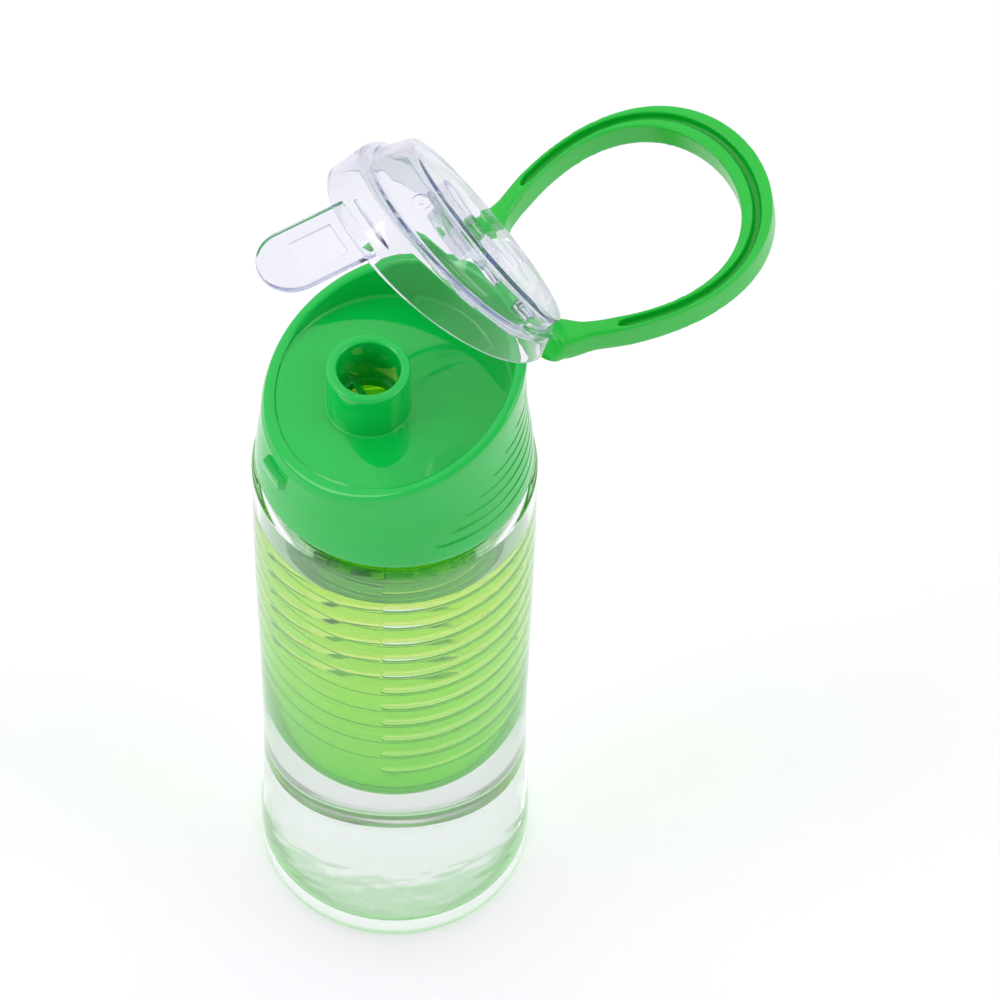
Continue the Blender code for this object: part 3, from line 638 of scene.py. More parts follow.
# The basket is seen through the drink, so its ior is the plastic's divided by the drink's.
basket_look = plastic(
    "tinted_basket",
    dark=(0.94, 0.985, 0.33), light=(0.98, 0.995, 0.42), roughness=(0.02, 0.08), bump=(0.05, 0.0002, 160.0),
    transmission=1.0, ior=1.14, scale=40.0, lets_light=(0.80, 0.94, 0.68), depth=((0.68, 0.965, 0.02), 640.0),
    low=(0.058, 0.122, (0.56, 0.91, 0.30)),
)
lid_look = plastic(
    "green_lid",
    dark=(0.0005, 0.45, 0.054), light=(0.0008, 0.48, 0.062), roughness=(0.02, 0.06), bump=(0.02, 0.0001, 700.0),
    scale=50.0, lets_light=(0.05, 0.52, 0.08),
)
loop_look = plastic(
    "green_loop",
    dark=(0.002, 0.44, 0.024), light=(0.004, 0.47, 0.032), roughness=(0.22, 0.30), bump=(0.04, 0.0001, 700.0),
    lets_light=(0.02, 0.45, 0.03),
)
seal_look = plastic(
    "clear_silicone",
    dark=(0.93, 0.94, 0.95), light=(0.96, 0.965, 0.97), roughness=(0.06, 0.12), bump=(0.1, 0.0001, 1200.0),
    transmission=0.96, ior=1.41, scale=80.0, lets_light=(0.88, 0.89, 0.90),
)


# Bottle body and drink


def body_radius(height):
    """The outside of the wall, drawn in softly at the waist."""
    if height > WAIST_HEIGHT:
        share = min((height - WAIST_HEIGHT) / (FULL_HEIGHT - WAIST_HEIGHT), 1)
        return WAIST_RADIUS + (BODY_RADIUS - WAIST_RADIUS) * share * share * (3 - 2 * share)
    share = min((WAIST_HEIGHT - height) / (WAIST_HEIGHT - BASE_TOP), 1)
    return WAIST_RADIUS + (BASE_RADIUS - WAIST_RADIUS) * share * share * (3 - 2 * share)


def wall_run(low, high, inset):
    heights = [low + (high - low) * step / WALL_STEPS for step in range(WALL_STEPS + 1)]
    return [(body_radius(height) - inset, height, 0) for height in heights]


def bottle_shell():
    """Outside from the middle of the underside up to the neck, then inside back down to the floor."""
    fillet = SHOULDER_FILLET - BODY_WALL / 2
    ceiling = NECK_FOOT - BODY_WALL
    corners = []
    for step in range(PUNT_STEPS + 1):
        share = step / PUNT_STEPS
        corners.append((PUNT_RADIUS * share, PUNT_RISE * (1 - share * share), 0))
    corners += [(PUNT_RADIUS + PUNT_EDGE, 0, PUNT_EDGE_ROUND), (BASE_RADIUS, 0, BASE_FILLET)]
    corners += wall_run(BASE_FILLET + FOOT_RUN_GAP, NECK_FOOT - SHOULDER_FILLET - RUN_GAP, 0)
    corners += [(BODY_RADIUS, NECK_FOOT, SHOULDER_FILLET), (NECK_RADIUS, NECK_FOOT, NECK_FOOT_ROUND)]
    corners += [(NECK_RADIUS, NECK_TOP, NECK_TOP_ROUND), (NECK_BORE_RADIUS, NECK_TOP, NECK_TOP_ROUND)]
    corners += [(NECK_BORE_RADIUS, ceiling, NECK_FOOT_ROUND), (BODY_RADIUS - BODY_WALL, ceiling, fillet)]
    corners += wall_run(FLOOR_THICKNESS + FLOOR_FILLET, ceiling - fillet - RUN_GAP, BODY_WALL)[::-1]
    corners += [(BASE_RADIUS - BODY_WALL, FLOOR_THICKNESS, FLOOR_FILLET), (0, FLOOR_THICKNESS, 0)]
    shape = made("bottle_shell", skin([ring(radius, height) for radius, height in eased(corners, 7)]))
    ridge = helix("neck_thread", NECK_RADIUS - EMBED, NECK_RADIUS + THREAD_DEPTH, THREAD_START, NECK_THREAD_TURNS)
    return combine(shape, "UNION", ridge)


def drink():
    """The liquid, a little into the wall so that no air film shows, with a raised edge at its surface."""
    reach = BODY_WALL - DRINK_IN_WALL
    floor = FLOOR_THICKNESS - DRINK_IN_WALL
    edge = body_radius(DRINK_LEVEL) - reach
    corners = [(0, floor, 0), (BASE_RADIUS - reach, floor, FLOOR_FILLET)]
    corners += wall_run(FLOOR_THICKNESS + FLOOR_FILLET, DRINK_LEVEL, reach)
    corners += [(edge - inward, DRINK_LEVEL + MENISCUS * share, 0) for inward, share in MENISCUS_SHAPE]
    corners += [(0, DRINK_LEVEL, 0)]
    return made("drink", skin([ring(radius, height) for radius, height in eased(corners, 7)]))


# Basket


def slot_cutters():
    """Rows of level slots with round ends, in panels with plain wall between them."""
    mesh = bmesh.new()
    plain = PLAIN_WIDTH / BASKET_RADIUS
    panel = math.tau / SLOT_PANELS
    inside = BASKET_BORE_RADIUS - OVERRUN
    outside = BASKET_RADIUS + OVERRUN
    half = SLOT_HEIGHT / 2
    end = half / BASKET_RADIUS
    shares = [0.5 - 0.5 * math.cos(math.pi * step / SLOT_STEPS) for step in range(SLOT_STEPS + 1)]
    for side in range(SLOT_PANELS):
        start = FIRST_PLAIN_TURN + side * panel + plain / 2
        span = panel - plain
        for row in range(SLOT_ROWS):
            level = SLOT_START + row * SLOT_PITCH
            sections = []
            for share in shares:
                turn = span * share
                near = min(turn, span - turn)
                depth = min(near / end, 1)
                tall = half * math.sqrt(max(1 - (1 - depth) ** 2, SLOT_LEAST))
                where = start + turn
                sections.append(
                    [
                        around(inside, where, level - tall),
                        around(outside, where, level - tall),
                        around(outside, where, level + tall),
                        around(inside, where, level + tall),
                    ]
                )
            add_sweep(mesh, sections)
    return made("slots", mesh)


def basket():
    """A cup with a round bottom. At each row of slots a shallow band runs round it, sharp at its lower edge."""
    middle = BASKET_BOTTOM + BASKET_CORNER
    centre = BASKET_RADIUS - BASKET_CORNER

    def arc(size):
        turns = [math.pi / 2 * step / CORNER_STEPS for step in range(CORNER_STEPS + 1)]
        return [(centre + size * math.sin(turn), middle - size * math.cos(turn), 0) for turn in turns]

    corners = [(0, BASKET_BOTTOM, 0)] + arc(BASKET_CORNER)
    for row in range(1, SLOT_ROWS + BANDS_ABOVE):
        level = SLOT_START + row * SLOT_PITCH
        corners += [(BASKET_RADIUS, level - BAND_LOW, BAND_EDGE_ROUND)]
        corners += [(BASKET_RADIUS - BAND_INSET, level - BAND_LOW + BAND_EDGE_RISE, BAND_ROOT_ROUND)]
        corners += [(BASKET_RADIUS - BAND_INSET, level + BAND_HIGH, BAND_ROUND)]
        corners += [(BASKET_RADIUS, level + BAND_HIGH + BAND_EASE, BAND_ROUND)]
    corners += [(BASKET_RADIUS, BASKET_TOP, BAND_ROUND), (BASKET_BORE_RADIUS, BASKET_TOP, BAND_ROUND)]
    corners += arc(BASKET_CORNER - BASKET_WALL)[::-1] + [(0, BASKET_BOTTOM + BASKET_WALL, 0)]
    shape = made("basket", skin([ring(radius, height) for radius, height in eased(corners)]))
    root, tip = BASKET_BOTTOM + EMBED, BASKET_BOTTOM - GATE_DEPTH
    gate = eased([(0, root, 0), (GATE_RADIUS, root, 0), (GATE_RADIUS, tip, GATE_DEPTH / 2), (0, tip, 0)], 4)
    combine(shape, "UNION", made("gate", skin([ring(radius, height, steps=24) for radius, height in gate])))
    return combine(shape, "DIFFERENCE", slot_cutters())


# Lid


def collar_radius(height):
    """Straight below, then drawn in towards the rim."""
    share = (height - COLLAR_BOTTOM) / COLLAR_TAPER_HEIGHT
    if share <= 0:
        return COLLAR_BOTTOM_RADIUS
    for (low, gone), (high, after) in zip(COLLAR_SHAPE, COLLAR_SHAPE[1:]):
        if share <= high:
            inward = gone + (after - gone) * (share - low) / (high - low)
            return COLLAR_BOTTOM_RADIUS - inward * (COLLAR_BOTTOM_RADIUS - RIM_RADIUS)
    return RIM_RADIUS


def rim_height(y):
    """The slanted plane of the lid's rim."""
    return RIM_MIDDLE + RIM_SLOPE * y


def deck_height(y):
    """Level, but below the slanted rim at the front, with a soft change between the two."""
    slant = rim_height(y) - LIP_STEP
    gap = abs(slant - DECK_HEIGHT)
    share = max(DECK_BLEND - gap, 0) / DECK_BLEND
    return min(slant, DECK_HEIGHT) - share * share * DECK_BLEND / 4


def lid_column(turn):
    """Radius and height pairs from the deck's middle over the lip, down the collar and up inside."""
    recess = RIM_RADIUS - RIM_WIDTH

    def y_at(radius):
        return -radius * math.cos(turn)

    run = []
    inner_top = rim_height(y_at(recess))
    deck_edge = deck_height(y_at(recess))
    wall = max(inner_top - deck_edge, LIP_LEAST)
    hollow = min(HOLLOW_ROUND, wall * HOLLOW_SHARE)
    lip = min(LIP_ROUND, wall * LIP_SHARE)
    for step in range(1, 16):
        radius = (recess - hollow) * step / 15
        run.append((radius, deck_height(y_at(radius))))
    for step in range(1, 5):
        angle = math.pi / 2 * step / 4
        radius = recess - hollow + hollow * math.sin(angle)
        run.append((radius, deck_edge + hollow * (1 - math.cos(angle))))
    for step in range(0, 6):
        angle = math.pi / 2 * step / 5
        radius = recess + lip * (1 - math.cos(angle))
        run.append((radius, rim_height(y_at(radius)) - lip * (1 - math.sin(angle))))
    for step in range(0, 7):
        angle = math.pi / 2 * step / 6
        radius = RIM_RADIUS - LIP_ROUND * (1 - math.sin(angle))
        run.append((radius, rim_height(y_at(radius)) - LIP_ROUND * (1 - math.cos(angle))))
    top = run[-1][1]
    low = COLLAR_BOTTOM + COLLAR_FOOT_ROUND
    for step in range(1, 25):
        height = top + (low - top) * step / 24
        run.append((collar_radius(height), height))
    run += [(COLLAR_BOTTOM_RADIUS - COLLAR_FOOT_EASE, COLLAR_BOTTOM + COLLAR_FOOT_EASE)]
    run += [(COLLAR_BOTTOM_RADIUS - COLLAR_FOOT_ROUND, COLLAR_BOTTOM)]
    run += [(LID_BORE_RADIUS + COLLAR_BORE_ROUND, COLLAR_BOTTOM)]
    run += [(LID_BORE_RADIUS, COLLAR_BOTTOM + COLLAR_BORE_ROUND)]
    run += [(LID_BORE_RADIUS, LID_CEILING), (SLEEVE_RADIUS, LID_CEILING)]
    inside = SLEEVE_RADIUS - SLEEVE_WALL
    run += [(SLEEVE_RADIUS, SLEEVE_BOTTOM + SLEEVE_ROUND), (SLEEVE_RADIUS - SLEEVE_ROUND, SLEEVE_BOTTOM)]
    run += [(inside + SLEEVE_ROUND, SLEEVE_BOTTOM), (inside, SLEEVE_BOTTOM + SLEEVE_ROUND)]
    run += [(inside, DECK_UNDERSIDE - DECK_CORNER)]
    under = min(DECK_UNDERSIDE, deck_height(y_at(inside)) - DECK_LEAST)
    run += [(inside - DECK_CORNER, under), (DECK_POCKET_RADIUS, under)]
    run += [(DECK_POCKET_RADIUS - DECK_POCKET_TAPER, DECK_HEIGHT - DECK_THICKNESS)]
    return run


def groove_cutters():
    """Level grooves round the collar's back, each starting further back than the one below it."""
    mesh = bmesh.new()
    half = GROOVE_WIDTH / 2
    for row in range(GROOVES):
        level = GROOVE_START + row * GROOVE_PITCH
        radius = collar_radius(level)
        start = math.acos(-(GROOVE_FIRST_Y + GROOVE_LEAN * (level - GROOVE_START)) / radius)
        span = math.tau - 2 * start
        count = max(round(span / math.tau * STEPS), 4)
        sections = []
        for step in range(count + 1):
            turn = start + span * step / count
            near = min(turn - start, start + span - turn)
            fade = min(near / GROOVE_FADE, 1)
            depth = GROOVE_DEPTH * math.sqrt(max(1 - (1 - fade) ** 2, GROOVE_LEAST_DEPTH))
            wide = half * math.sqrt(max(1 - (1 - fade) ** 2, GROOVE_LEAST_WIDTH))
            section = []
            for corner in range(7):
                angle = math.pi * corner / 6
                section.append(around(radius - depth * math.sin(angle), turn, level - wide * math.cos(angle)))
            section.append(around(radius + OVERRUN, turn, level + wide))
            section.append(around(radius + OVERRUN, turn, level - wide))
            sections.append(section)
        add_sweep(mesh, sections)
    return made("grip_grooves", mesh)


def spout_tube():
    root = DECK_HEIGHT - DECK_THICKNESS / 2
    corners = [
        (SPOUT_BORE_RADIUS, root, 0),
        (SPOUT_RADIUS + SPOUT_FOOT, root, 0),
        (SPOUT_RADIUS + SPOUT_FOOT, DECK_HEIGHT - SPOUT_FOOT_SINK, 0),
        (SPOUT_RADIUS, DECK_HEIGHT, SPOUT_FOOT_ROUND),
        (SPOUT_RADIUS, SPOUT_TOP, SPOUT_LIP),
        (SPOUT_BORE_RADIUS, SPOUT_TOP, SPOUT_LIP),
        (SPOUT_BORE_RADIUS, root, 0),
    ]
    rows = [ring(radius, height, middle=SPOUT_Y, steps=FINE_STEPS) for radius, height in eased(corners, 6)[:-1]]
    return made("spout_tube", skin(rows, ring_shut=True))


def strainer_cutters():
    """Four openings with a cross of bars between them, at the bottom of the spout."""
    mesh = bmesh.new()
    bar = STRAINER_BAR / 2
    first = math.asin(bar / STRAINER_RADIUS)
    for side in range(4):
        start = side * math.pi / 2
        corners = [(bar * math.sqrt(2), start + math.pi / 4)]
        corners += [
            (STRAINER_RADIUS, start + first + step / 12 * (math.pi / 2 - 2 * first)) for step in range(13)
        ]
        placed = [(radius * math.cos(turn), SPOUT_Y + radius * math.sin(turn)) for radius, turn in corners]
        levels = (DECK_HEIGHT - DECK_THICKNESS - OVERRUN, DECK_HEIGHT + OVERRUN)
        add_sweep(mesh, [[(x, y, level) for x, y in placed] for level in levels])
    return made("strainer_holes", mesh)


def latch_nub():
    front = -collar_radius(NUB_BOTTOM) - NUB_REACH
    root = -collar_radius(NUB_BOTTOM) + NUB_CHAMFER
    points = [
        (-NUB_HALF_WIDTH, root, NUB_BOTTOM),
        (-NUB_HALF_WIDTH + NUB_CHAMFER, front, NUB_BOTTOM),
        (NUB_HALF_WIDTH - NUB_CHAMFER, front, NUB_BOTTOM),
        (NUB_HALF_WIDTH, root, NUB_BOTTOM),
    ]
    return soften(extruded("latch_nub", points, (0, 0, NUB_HEIGHT)), BEVEL_WIDTH, BEVEL_SEGMENTS)


def hinge_lug():
    swings = [math.pi * step / 12 for step in range(13)]
    points = [
        (HINGE_Y + BARREL_RADIUS * math.cos(swing), HINGE_HEIGHT + BARREL_RADIUS * math.sin(swing))
        for swing in swings
    ]
    points += [
        (RIM_RADIUS - LUG_ROOT, HINGE_HEIGHT - BARREL_RADIUS),
        (RIM_RADIUS - LUG_ROOT, HINGE_HEIGHT - LUG_FOOT_DROP),
        (RIM_RADIUS - EMBED, HINGE_HEIGHT - LUG_FOOT_DROP),
        (HINGE_Y + BARREL_RADIUS / 2, HINGE_HEIGHT - LUG_HEEL_DROP),
    ]
    shape = extruded("hinge_lug", [(-LUG_HALF_WIDTH, y, z) for y, z in points], (2 * LUG_HALF_WIDTH, 0, 0))
    return soften(shape, BEVEL_WIDTH, BEVEL_SEGMENTS)


def both_sides(make, start, end):
    """The same shape right and left of the middle."""
    return [make("right", start, end), make("left", -end, -start)]


def foot_room(side, start, end):
    """Room for the loop's foot to turn in."""
    return bar(f"foot_room_{side}", start, end, FOOT_RADIUS + SWING_GAP)


def lid():
    turns = [math.tau * step / STEPS for step in range(STEPS)]
    columns = [lid_column(turn) for turn in turns]
    rows = [[(0, 0, DECK_HEIGHT)]]
    for level in zip(*columns):
        rows.append([around(radius, turn, height) for (radius, height), turn in zip(level, turns)])
    rows.append([(0, 0, DECK_HEIGHT - DECK_THICKNESS)])
    shape = made("lid_shell", skin(rows))
    combine(shape, "DIFFERENCE", groove_cutters())
    combine(shape, "UNION", spout_tube())
    combine(shape, "DIFFERENCE", strainer_cutters())
    combine(shape, "UNION", latch_nub())
    combine(shape, "UNION", hinge_lug())

    combine(shape, "DIFFERENCE", *both_sides(foot_room, LUG_HALF_WIDTH, NOTCH_HALF_LENGTH))
    reach = LUG_HALF_WIDTH + OVERRUN
    combine(shape, "DIFFERENCE", bar("lug_bore", -reach, reach, PIN_BORE_RADIUS))
    root, crest = LID_BORE_RADIUS + EMBED, LID_BORE_RADIUS - THREAD_DEPTH
    ridge = helix("lid_thread", root, crest, THREAD_START + THREAD_PITCH / 2, LID_THREAD_TURNS)
    return combine(shape, "UNION", ridge)


# Flip cover


def cover_shell():
    """Skirt, shoulder and raised top, as rings of radius, centre y, height and tilt, each with a rounding."""
    rim = COVER_RIM_MIDDLE
    wall = COVER_WALL
    flat = TOP_RADIUS * TOP_FLAT_SHARE
    flat_slope = TOP_SLOPE * TOP_FLAT_SLOPE_SHARE

    def state(radius, middle, height, slope, size):
        return (radius, middle, height, slope * radius, size)

    outside = [
        state(COVER_RIM_RADIUS - wall, 0, rim, RIM_SLOPE, 0),
        state(COVER_RIM_RADIUS, 0, rim, RIM_SLOPE, COVER_RIM_ROUND),
        state(SHOULDER_RADIUS, SHOULDER_Y, SHOULDER_MIDDLE, SHOULDER_SLOPE, SHOULDER_ROUND),
        state(TIER_RADIUS, TIER_Y, TIER_MIDDLE, SHOULDER_SLOPE, TIER_ROUND),
        state(TOP_RADIUS, TOP_Y, TOP_MIDDLE, TOP_SLOPE, TOP_ROUND),
        state(flat, TOP_Y, TOP_MIDDLE, flat_slope, 0),
        (0, TOP_Y, TOP_MIDDLE, 0, 0),
    ]
    inside = [
        (0, TOP_Y, TOP_MIDDLE - wall, 0, 0),
        state(flat, TOP_Y, TOP_MIDDLE - wall, flat_slope, 0),
        state(TOP_RADIUS - wall, TOP_Y, TOP_MIDDLE - wall, TOP_SLOPE, TOP_INNER_ROUND),
        state(TIER_RADIUS - wall, TIER_Y, TIER_MIDDLE - wall, SHOULDER_SLOPE, TIER_ROUND),
        state(SHOULDER_RADIUS - wall, SHOULDER_Y, SHOULDER_MIDDLE - wall, SHOULDER_SLOPE, TIER_ROUND),
        state(COVER_RIM_RADIUS - wall, 0, rim, RIM_SLOPE, 0),
    ]
    return eased4(inside) + eased4(outside)


def eased4(corners, count=6):
    """eased() for rings of four values, with straight runs divided."""
    points = [tuple(corner[:4]) for corner in corners]
    run = []

    def mix(a, b, s):
        return tuple(p + (q - p) * s for p, q in zip(a, b))

    def reach(a, b):
        return math.dist(a[:3], b[:3])

    ends = []
    for index, corner in enumerate(corners):
        here = points[index]
        size = corner[4]
        if not size or index in (0, len(corners) - 1):
            ends.append([here])
            continue
        before, after = points[index - 1], points[index + 1]
        size = min(size, reach(here, before) * EASE_SHARE, reach(here, after) * EASE_SHARE)
        start = mix(here, before, size / reach(here, before))
        end = mix(here, after, size / reach(here, after))
        back = [p - q for p, q in zip((before[0], before[2]), (here[0], here[2]))]
        on = [p - q for p, q in zip((after[0], after[2]), (here[0], here[2]))]
        cosine = (back[0] * on[0] + back[1] * on[1]) / (math.hypot(*back) * math.hypot(*on))
        pull = math.sqrt(max((1 - cosine) / 2, EASE_LEAST))
        arc = []
        for step in range(count + 1):
            s = step / count
            a, b, c = (1 - s) ** 2, 2 * s * (1 - s) * pull, s * s
            arc.append(tuple((p * a + q * b + r * c) / (a + b + c) for p, q, r in zip(start, here, end)))
        ends.append(arc)
    for near, far in zip(ends, ends[1:]):
        run += near
        pieces = int(reach(near[-1], far[0]) / COVER_RUN)
        run += [mix(near[-1], far[0], (step + 1) / (pieces + 1)) for step in range(pieces)]
    run += ends[-1]
    return run


def tab_point(across, down, outward):
    """A point on the tab: across it, down along it and outward from its inner face."""
    root = rim_height(-RIM_RADIUS) + TAB_RISE
    return (
        across,
        -COVER_RIM_RADIUS - down * math.sin(TAB_LEAN) - outward * math.cos(TAB_LEAN),
        root - down * math.cos(TAB_LEAN) + outward * math.sin(TAB_LEAN),
    )


def tab_outline(inset, tip_steps=24):
    """Across and down, from the root round the tip and back."""
    half = TAB_HALF_WIDTH - inset
    tip = TAB_LENGTH - TAB_HALF_WIDTH
    swings = [math.pi * step / tip_steps for step in range(tip_steps + 1)]
    outline = [(half, -TAB_ROOT)] + [(half, tip * step / 6) for step in range(6)]
    outline += [(half * math.cos(swing), tip + half * math.sin(swing)) for swing in swings]
    outline += [(-half, tip * step / 6) for step in range(5, -1, -1)] + [(-half, -TAB_ROOT)]
    return outline


def tab():
    """A tongue with rounded edges, layer on layer through its thickness."""
    edge = TAB_EDGE
    layers = []
    for step in range(6):
        angle = math.pi / 2 * step / 5
        layers.append((edge * (1 - math.sin(angle)), edge * (1 - math.cos(angle))))
    layers += [(inset, TAB_THICKNESS - outward) for inset, outward in layers[::-1]]
    rows = []
    for inset, outward in layers:
        rows.append([tab_point(across, down, outward) for across, down in tab_outline(inset)])
    return made("tab", skin(rows))


def tab_window():
    half = WINDOW_HALF_WIDTH
    top = WINDOW_TOP
    bottom = top + WINDOW_LENGTH
    corners = [(-half, top), (half, top), (half, bottom), (-half, bottom)]
    points = [tab_point(across, down, WINDOW_DEPTH) for across, down in corners]
    depth = WINDOW_DEPTH + OVERRUN
    return extruded("tab_window", points, (0, depth * math.cos(TAB_LEAN), -depth * math.sin(TAB_LEAN)))


def catch_rib():
    front = -COVER_RIM_RADIUS + COVER_WALL - EMBED
    level = rim_height(-RIM_RADIUS) + TAB_RISE + CATCH_RISE
    outline = [
        (-CATCH_HALF_LENGTH, front, level),
        (-CATCH_HALF_LENGTH, front + EMBED + CATCH_SIZE, level + CATCH_SIZE / 2),
        (-CATCH_HALF_LENGTH, front, level + CATCH_SIZE),
    ]
    return soften(extruded("catch_rib", outline, (2 * CATCH_HALF_LENGTH, 0, 0)), THIN_BEVEL_WIDTH, 2)


def seal_cup():
    """A ring wall under the raised top that holds the spout's seal."""
    inner = SEAL_RADIUS + SEAT_GAP
    outer = inner + CUP_WALL
    foot = SPOUT_TOP + CUP_DROP
    roof = TOP_MIDDLE - COVER_WALL / 2 + TOP_SLOPE * (SPOUT_Y - TOP_Y)
    corners = [(inner, roof, 0), (inner, foot, CUP_ROUND), (outer, foot, CUP_ROUND), (outer, roof, 0)]
    rows = []
    for radius, height in eased(corners, 4):
        tilt = TOP_SLOPE * radius if height == roof else 0
        rows.append(ring(radius, height, middle=SPOUT_Y, tilt=tilt, steps=FINE_STEPS))
    return made("seal_cup", skin(rows, ring_shut=True))


def cover_barrel(side, start, end):
    """Half a hinge barrel with the web that joins it to the cover."""
    swings = [-math.pi * step / 12 for step in range(13)]
    points = [
        (HINGE_Y + BARREL_RADIUS * math.cos(swing), HINGE_HEIGHT + BARREL_RADIUS * math.sin(swing))
        for swing in swings
    ]
    points += [
        (HINGE_Y - BARREL_RADIUS, HINGE_HEIGHT + WEB_START),
        (HINGE_Y - WEB_TOP_INSET, HINGE_HEIGHT + WEB_RISE),
        (HINGE_Y + WEB_OUTSIDE, HINGE_HEIGHT + BARREL_RADIUS),
    ]
    return extruded(f"barrel_{side}", [(start, y, z) for y, z in points], (end - start, 0, 0))


def open_cover(shape):
    """Swing a shut shape open about the hinge."""
    hinge = Vector((0, HINGE_Y, HINGE_HEIGHT))
    turn = Matrix.Translation(hinge) @ Matrix.Rotation(-COVER_OPEN, 4, "X") @ Matrix.Translation(-hinge)
    shape.data.transform(turn)
    return shape


def tier_mark(radius, start, end):
    """A round moulding mark on the raised top's front wall, from start to end along the wall's normal."""
    out = Vector((0, -math.cos(TIER_WALL_LEAN), math.sin(TIER_WALL_LEAN)))
    rise = Vector((0, math.sin(TIER_WALL_LEAN), math.cos(TIER_WALL_LEAN)))
    centre = Vector((TIER_MARK_X, TIER_MARK_Y, TIER_MARK_HEIGHT)) + out * start
    points = []
    for step in range(FINE_STEPS):
        turn = math.tau * step / FINE_STEPS
        points.append(centre + Vector((math.cos(turn), 0, 0)) * radius + rise * (math.sin(turn) * radius))
    return extruded("tier_mark", points, out * (end - start))


def flip_cover():
    rows = [ring(radius, height, middle, tilt) for radius, middle, height, tilt in cover_shell()]
    shape = made("cover_shell", skin(rows))
    combine(shape, "UNION", seal_cup())
    combine(shape, "UNION", catch_rib())
    combine(shape, "UNION", tab())
    combine(shape, "DIFFERENCE", tab_window())
    combine(shape, "DIFFERENCE", tier_mark(TIER_MARK_RADIUS, -TIER_MARK_DEPTH, TIER_MARK_CLEAR))
    combine(shape, "UNION", tier_mark(TIER_DOT_RADIUS, -TIER_MARK_CLEAR, 0))

    reach = LUG_HALF_WIDTH + SEAT_GAP
    combine(shape, "DIFFERENCE", bar("lug_room", -reach, reach, BARREL_RADIUS + SWING_GAP))
    combine(shape, "DIFFERENCE", *both_sides(foot_room, BARREL_END, FOOT_END + SWING_GAP))
    for barrel in both_sides(cover_barrel, BARREL_START, BARREL_END):
        combine(shape, "UNION", barrel)
    reach = FOOT_START + OVERRUN
    combine(shape, "DIFFERENCE", bar("barrel_bore", -reach, reach, PIN_BORE_RADIUS))
    return open_cover(shape)


def spout_seal():
    plug = SPOUT_BORE_RADIUS - SWING_GAP
    face = SPOUT_TOP + SLIDE_GAP
    corners = [
        (0, face - PLUG_DEPTH, 0),
        (plug - PLUG_DRAFT, face - PLUG_DEPTH, PLUG_TIP_ROUND),
        (plug, face, PLUG_ROOT_ROUND),
        (SEAL_RADIUS, face, CUP_ROUND),
        (SEAL_RADIUS, face + SEAL_THICKNESS, CUP_ROUND),
        (0, face + SEAL_THICKNESS, 0),
    ]
    rows = [ring(radius, height, middle=SPOUT_Y, steps=FINE_STEPS) for radius, height in eased(corners, 4)]
    return open_cover(made("seal_plug", skin(rows)))


# Carry loop


def loop_point(turn, side_inset, end_inset):
    """Across and along the egg-shaped loop, which is drawn flat from the hinge's axis."""
    across = (LOOP_HALF_WIDTH - side_inset) * math.sin(turn) * (1 - LOOP_EGG * math.cos(turn))
    along = LOOP_MIDDLE - (LOOP_HALF_LENGTH - end_inset) * math.cos(turn)
    return across, along


def loop_turns(along, end_inset):
    """Turns round the loop from one side's foot to the other's, starting this far along."""
    first = math.acos((LOOP_MIDDLE - along) / (LOOP_HALF_LENGTH - end_inset))
    return [first + (math.tau - 2 * first) * step / LOOP_STEPS for step in range(LOOP_STEPS + 1)]


def loop_groove():
    mesh = bmesh.new()
    sections = []
    for step, turn in enumerate(loop_turns(LOOP_GROOVE_START, BAND_END / 2)):
        outer = loop_point(turn, 0, 0)
        inner = loop_point(turn, BAND_SIDE, BAND_END)
        span = math.dist(outer, inner)
        near = min(step, LOOP_STEPS - step)
        wide = LOOP_GROOVE_WIDTH * min(1.0, LOOP_GROOVE_TIP + LOOP_GROOVE_TIP * near)
        corners = []
        for side in (-1, 1):
            share = (1 + side * wide / span) / 2
            x = inner[0] + (outer[0] - inner[0]) * share
            y = inner[1] + (outer[1] - inner[1]) * share
            floor = (x, y, BAND_TOP - LOOP_GROOVE_DEPTH)
            roof = (x, y, BAND_TOP + OVERRUN)
            corners += [floor, roof] if side < 0 else [roof, floor]
        sections.append(corners)
    add_sweep(mesh, sections)
    return made("loop_groove", mesh)


def smooth(shape, rounds, group=""):
    ease = shape.modifiers.new("ease", "SMOOTH")
    ease.factor = SOFT_FACTOR
    ease.iterations = rounds
    ease.vertex_group = group
    settle(shape)


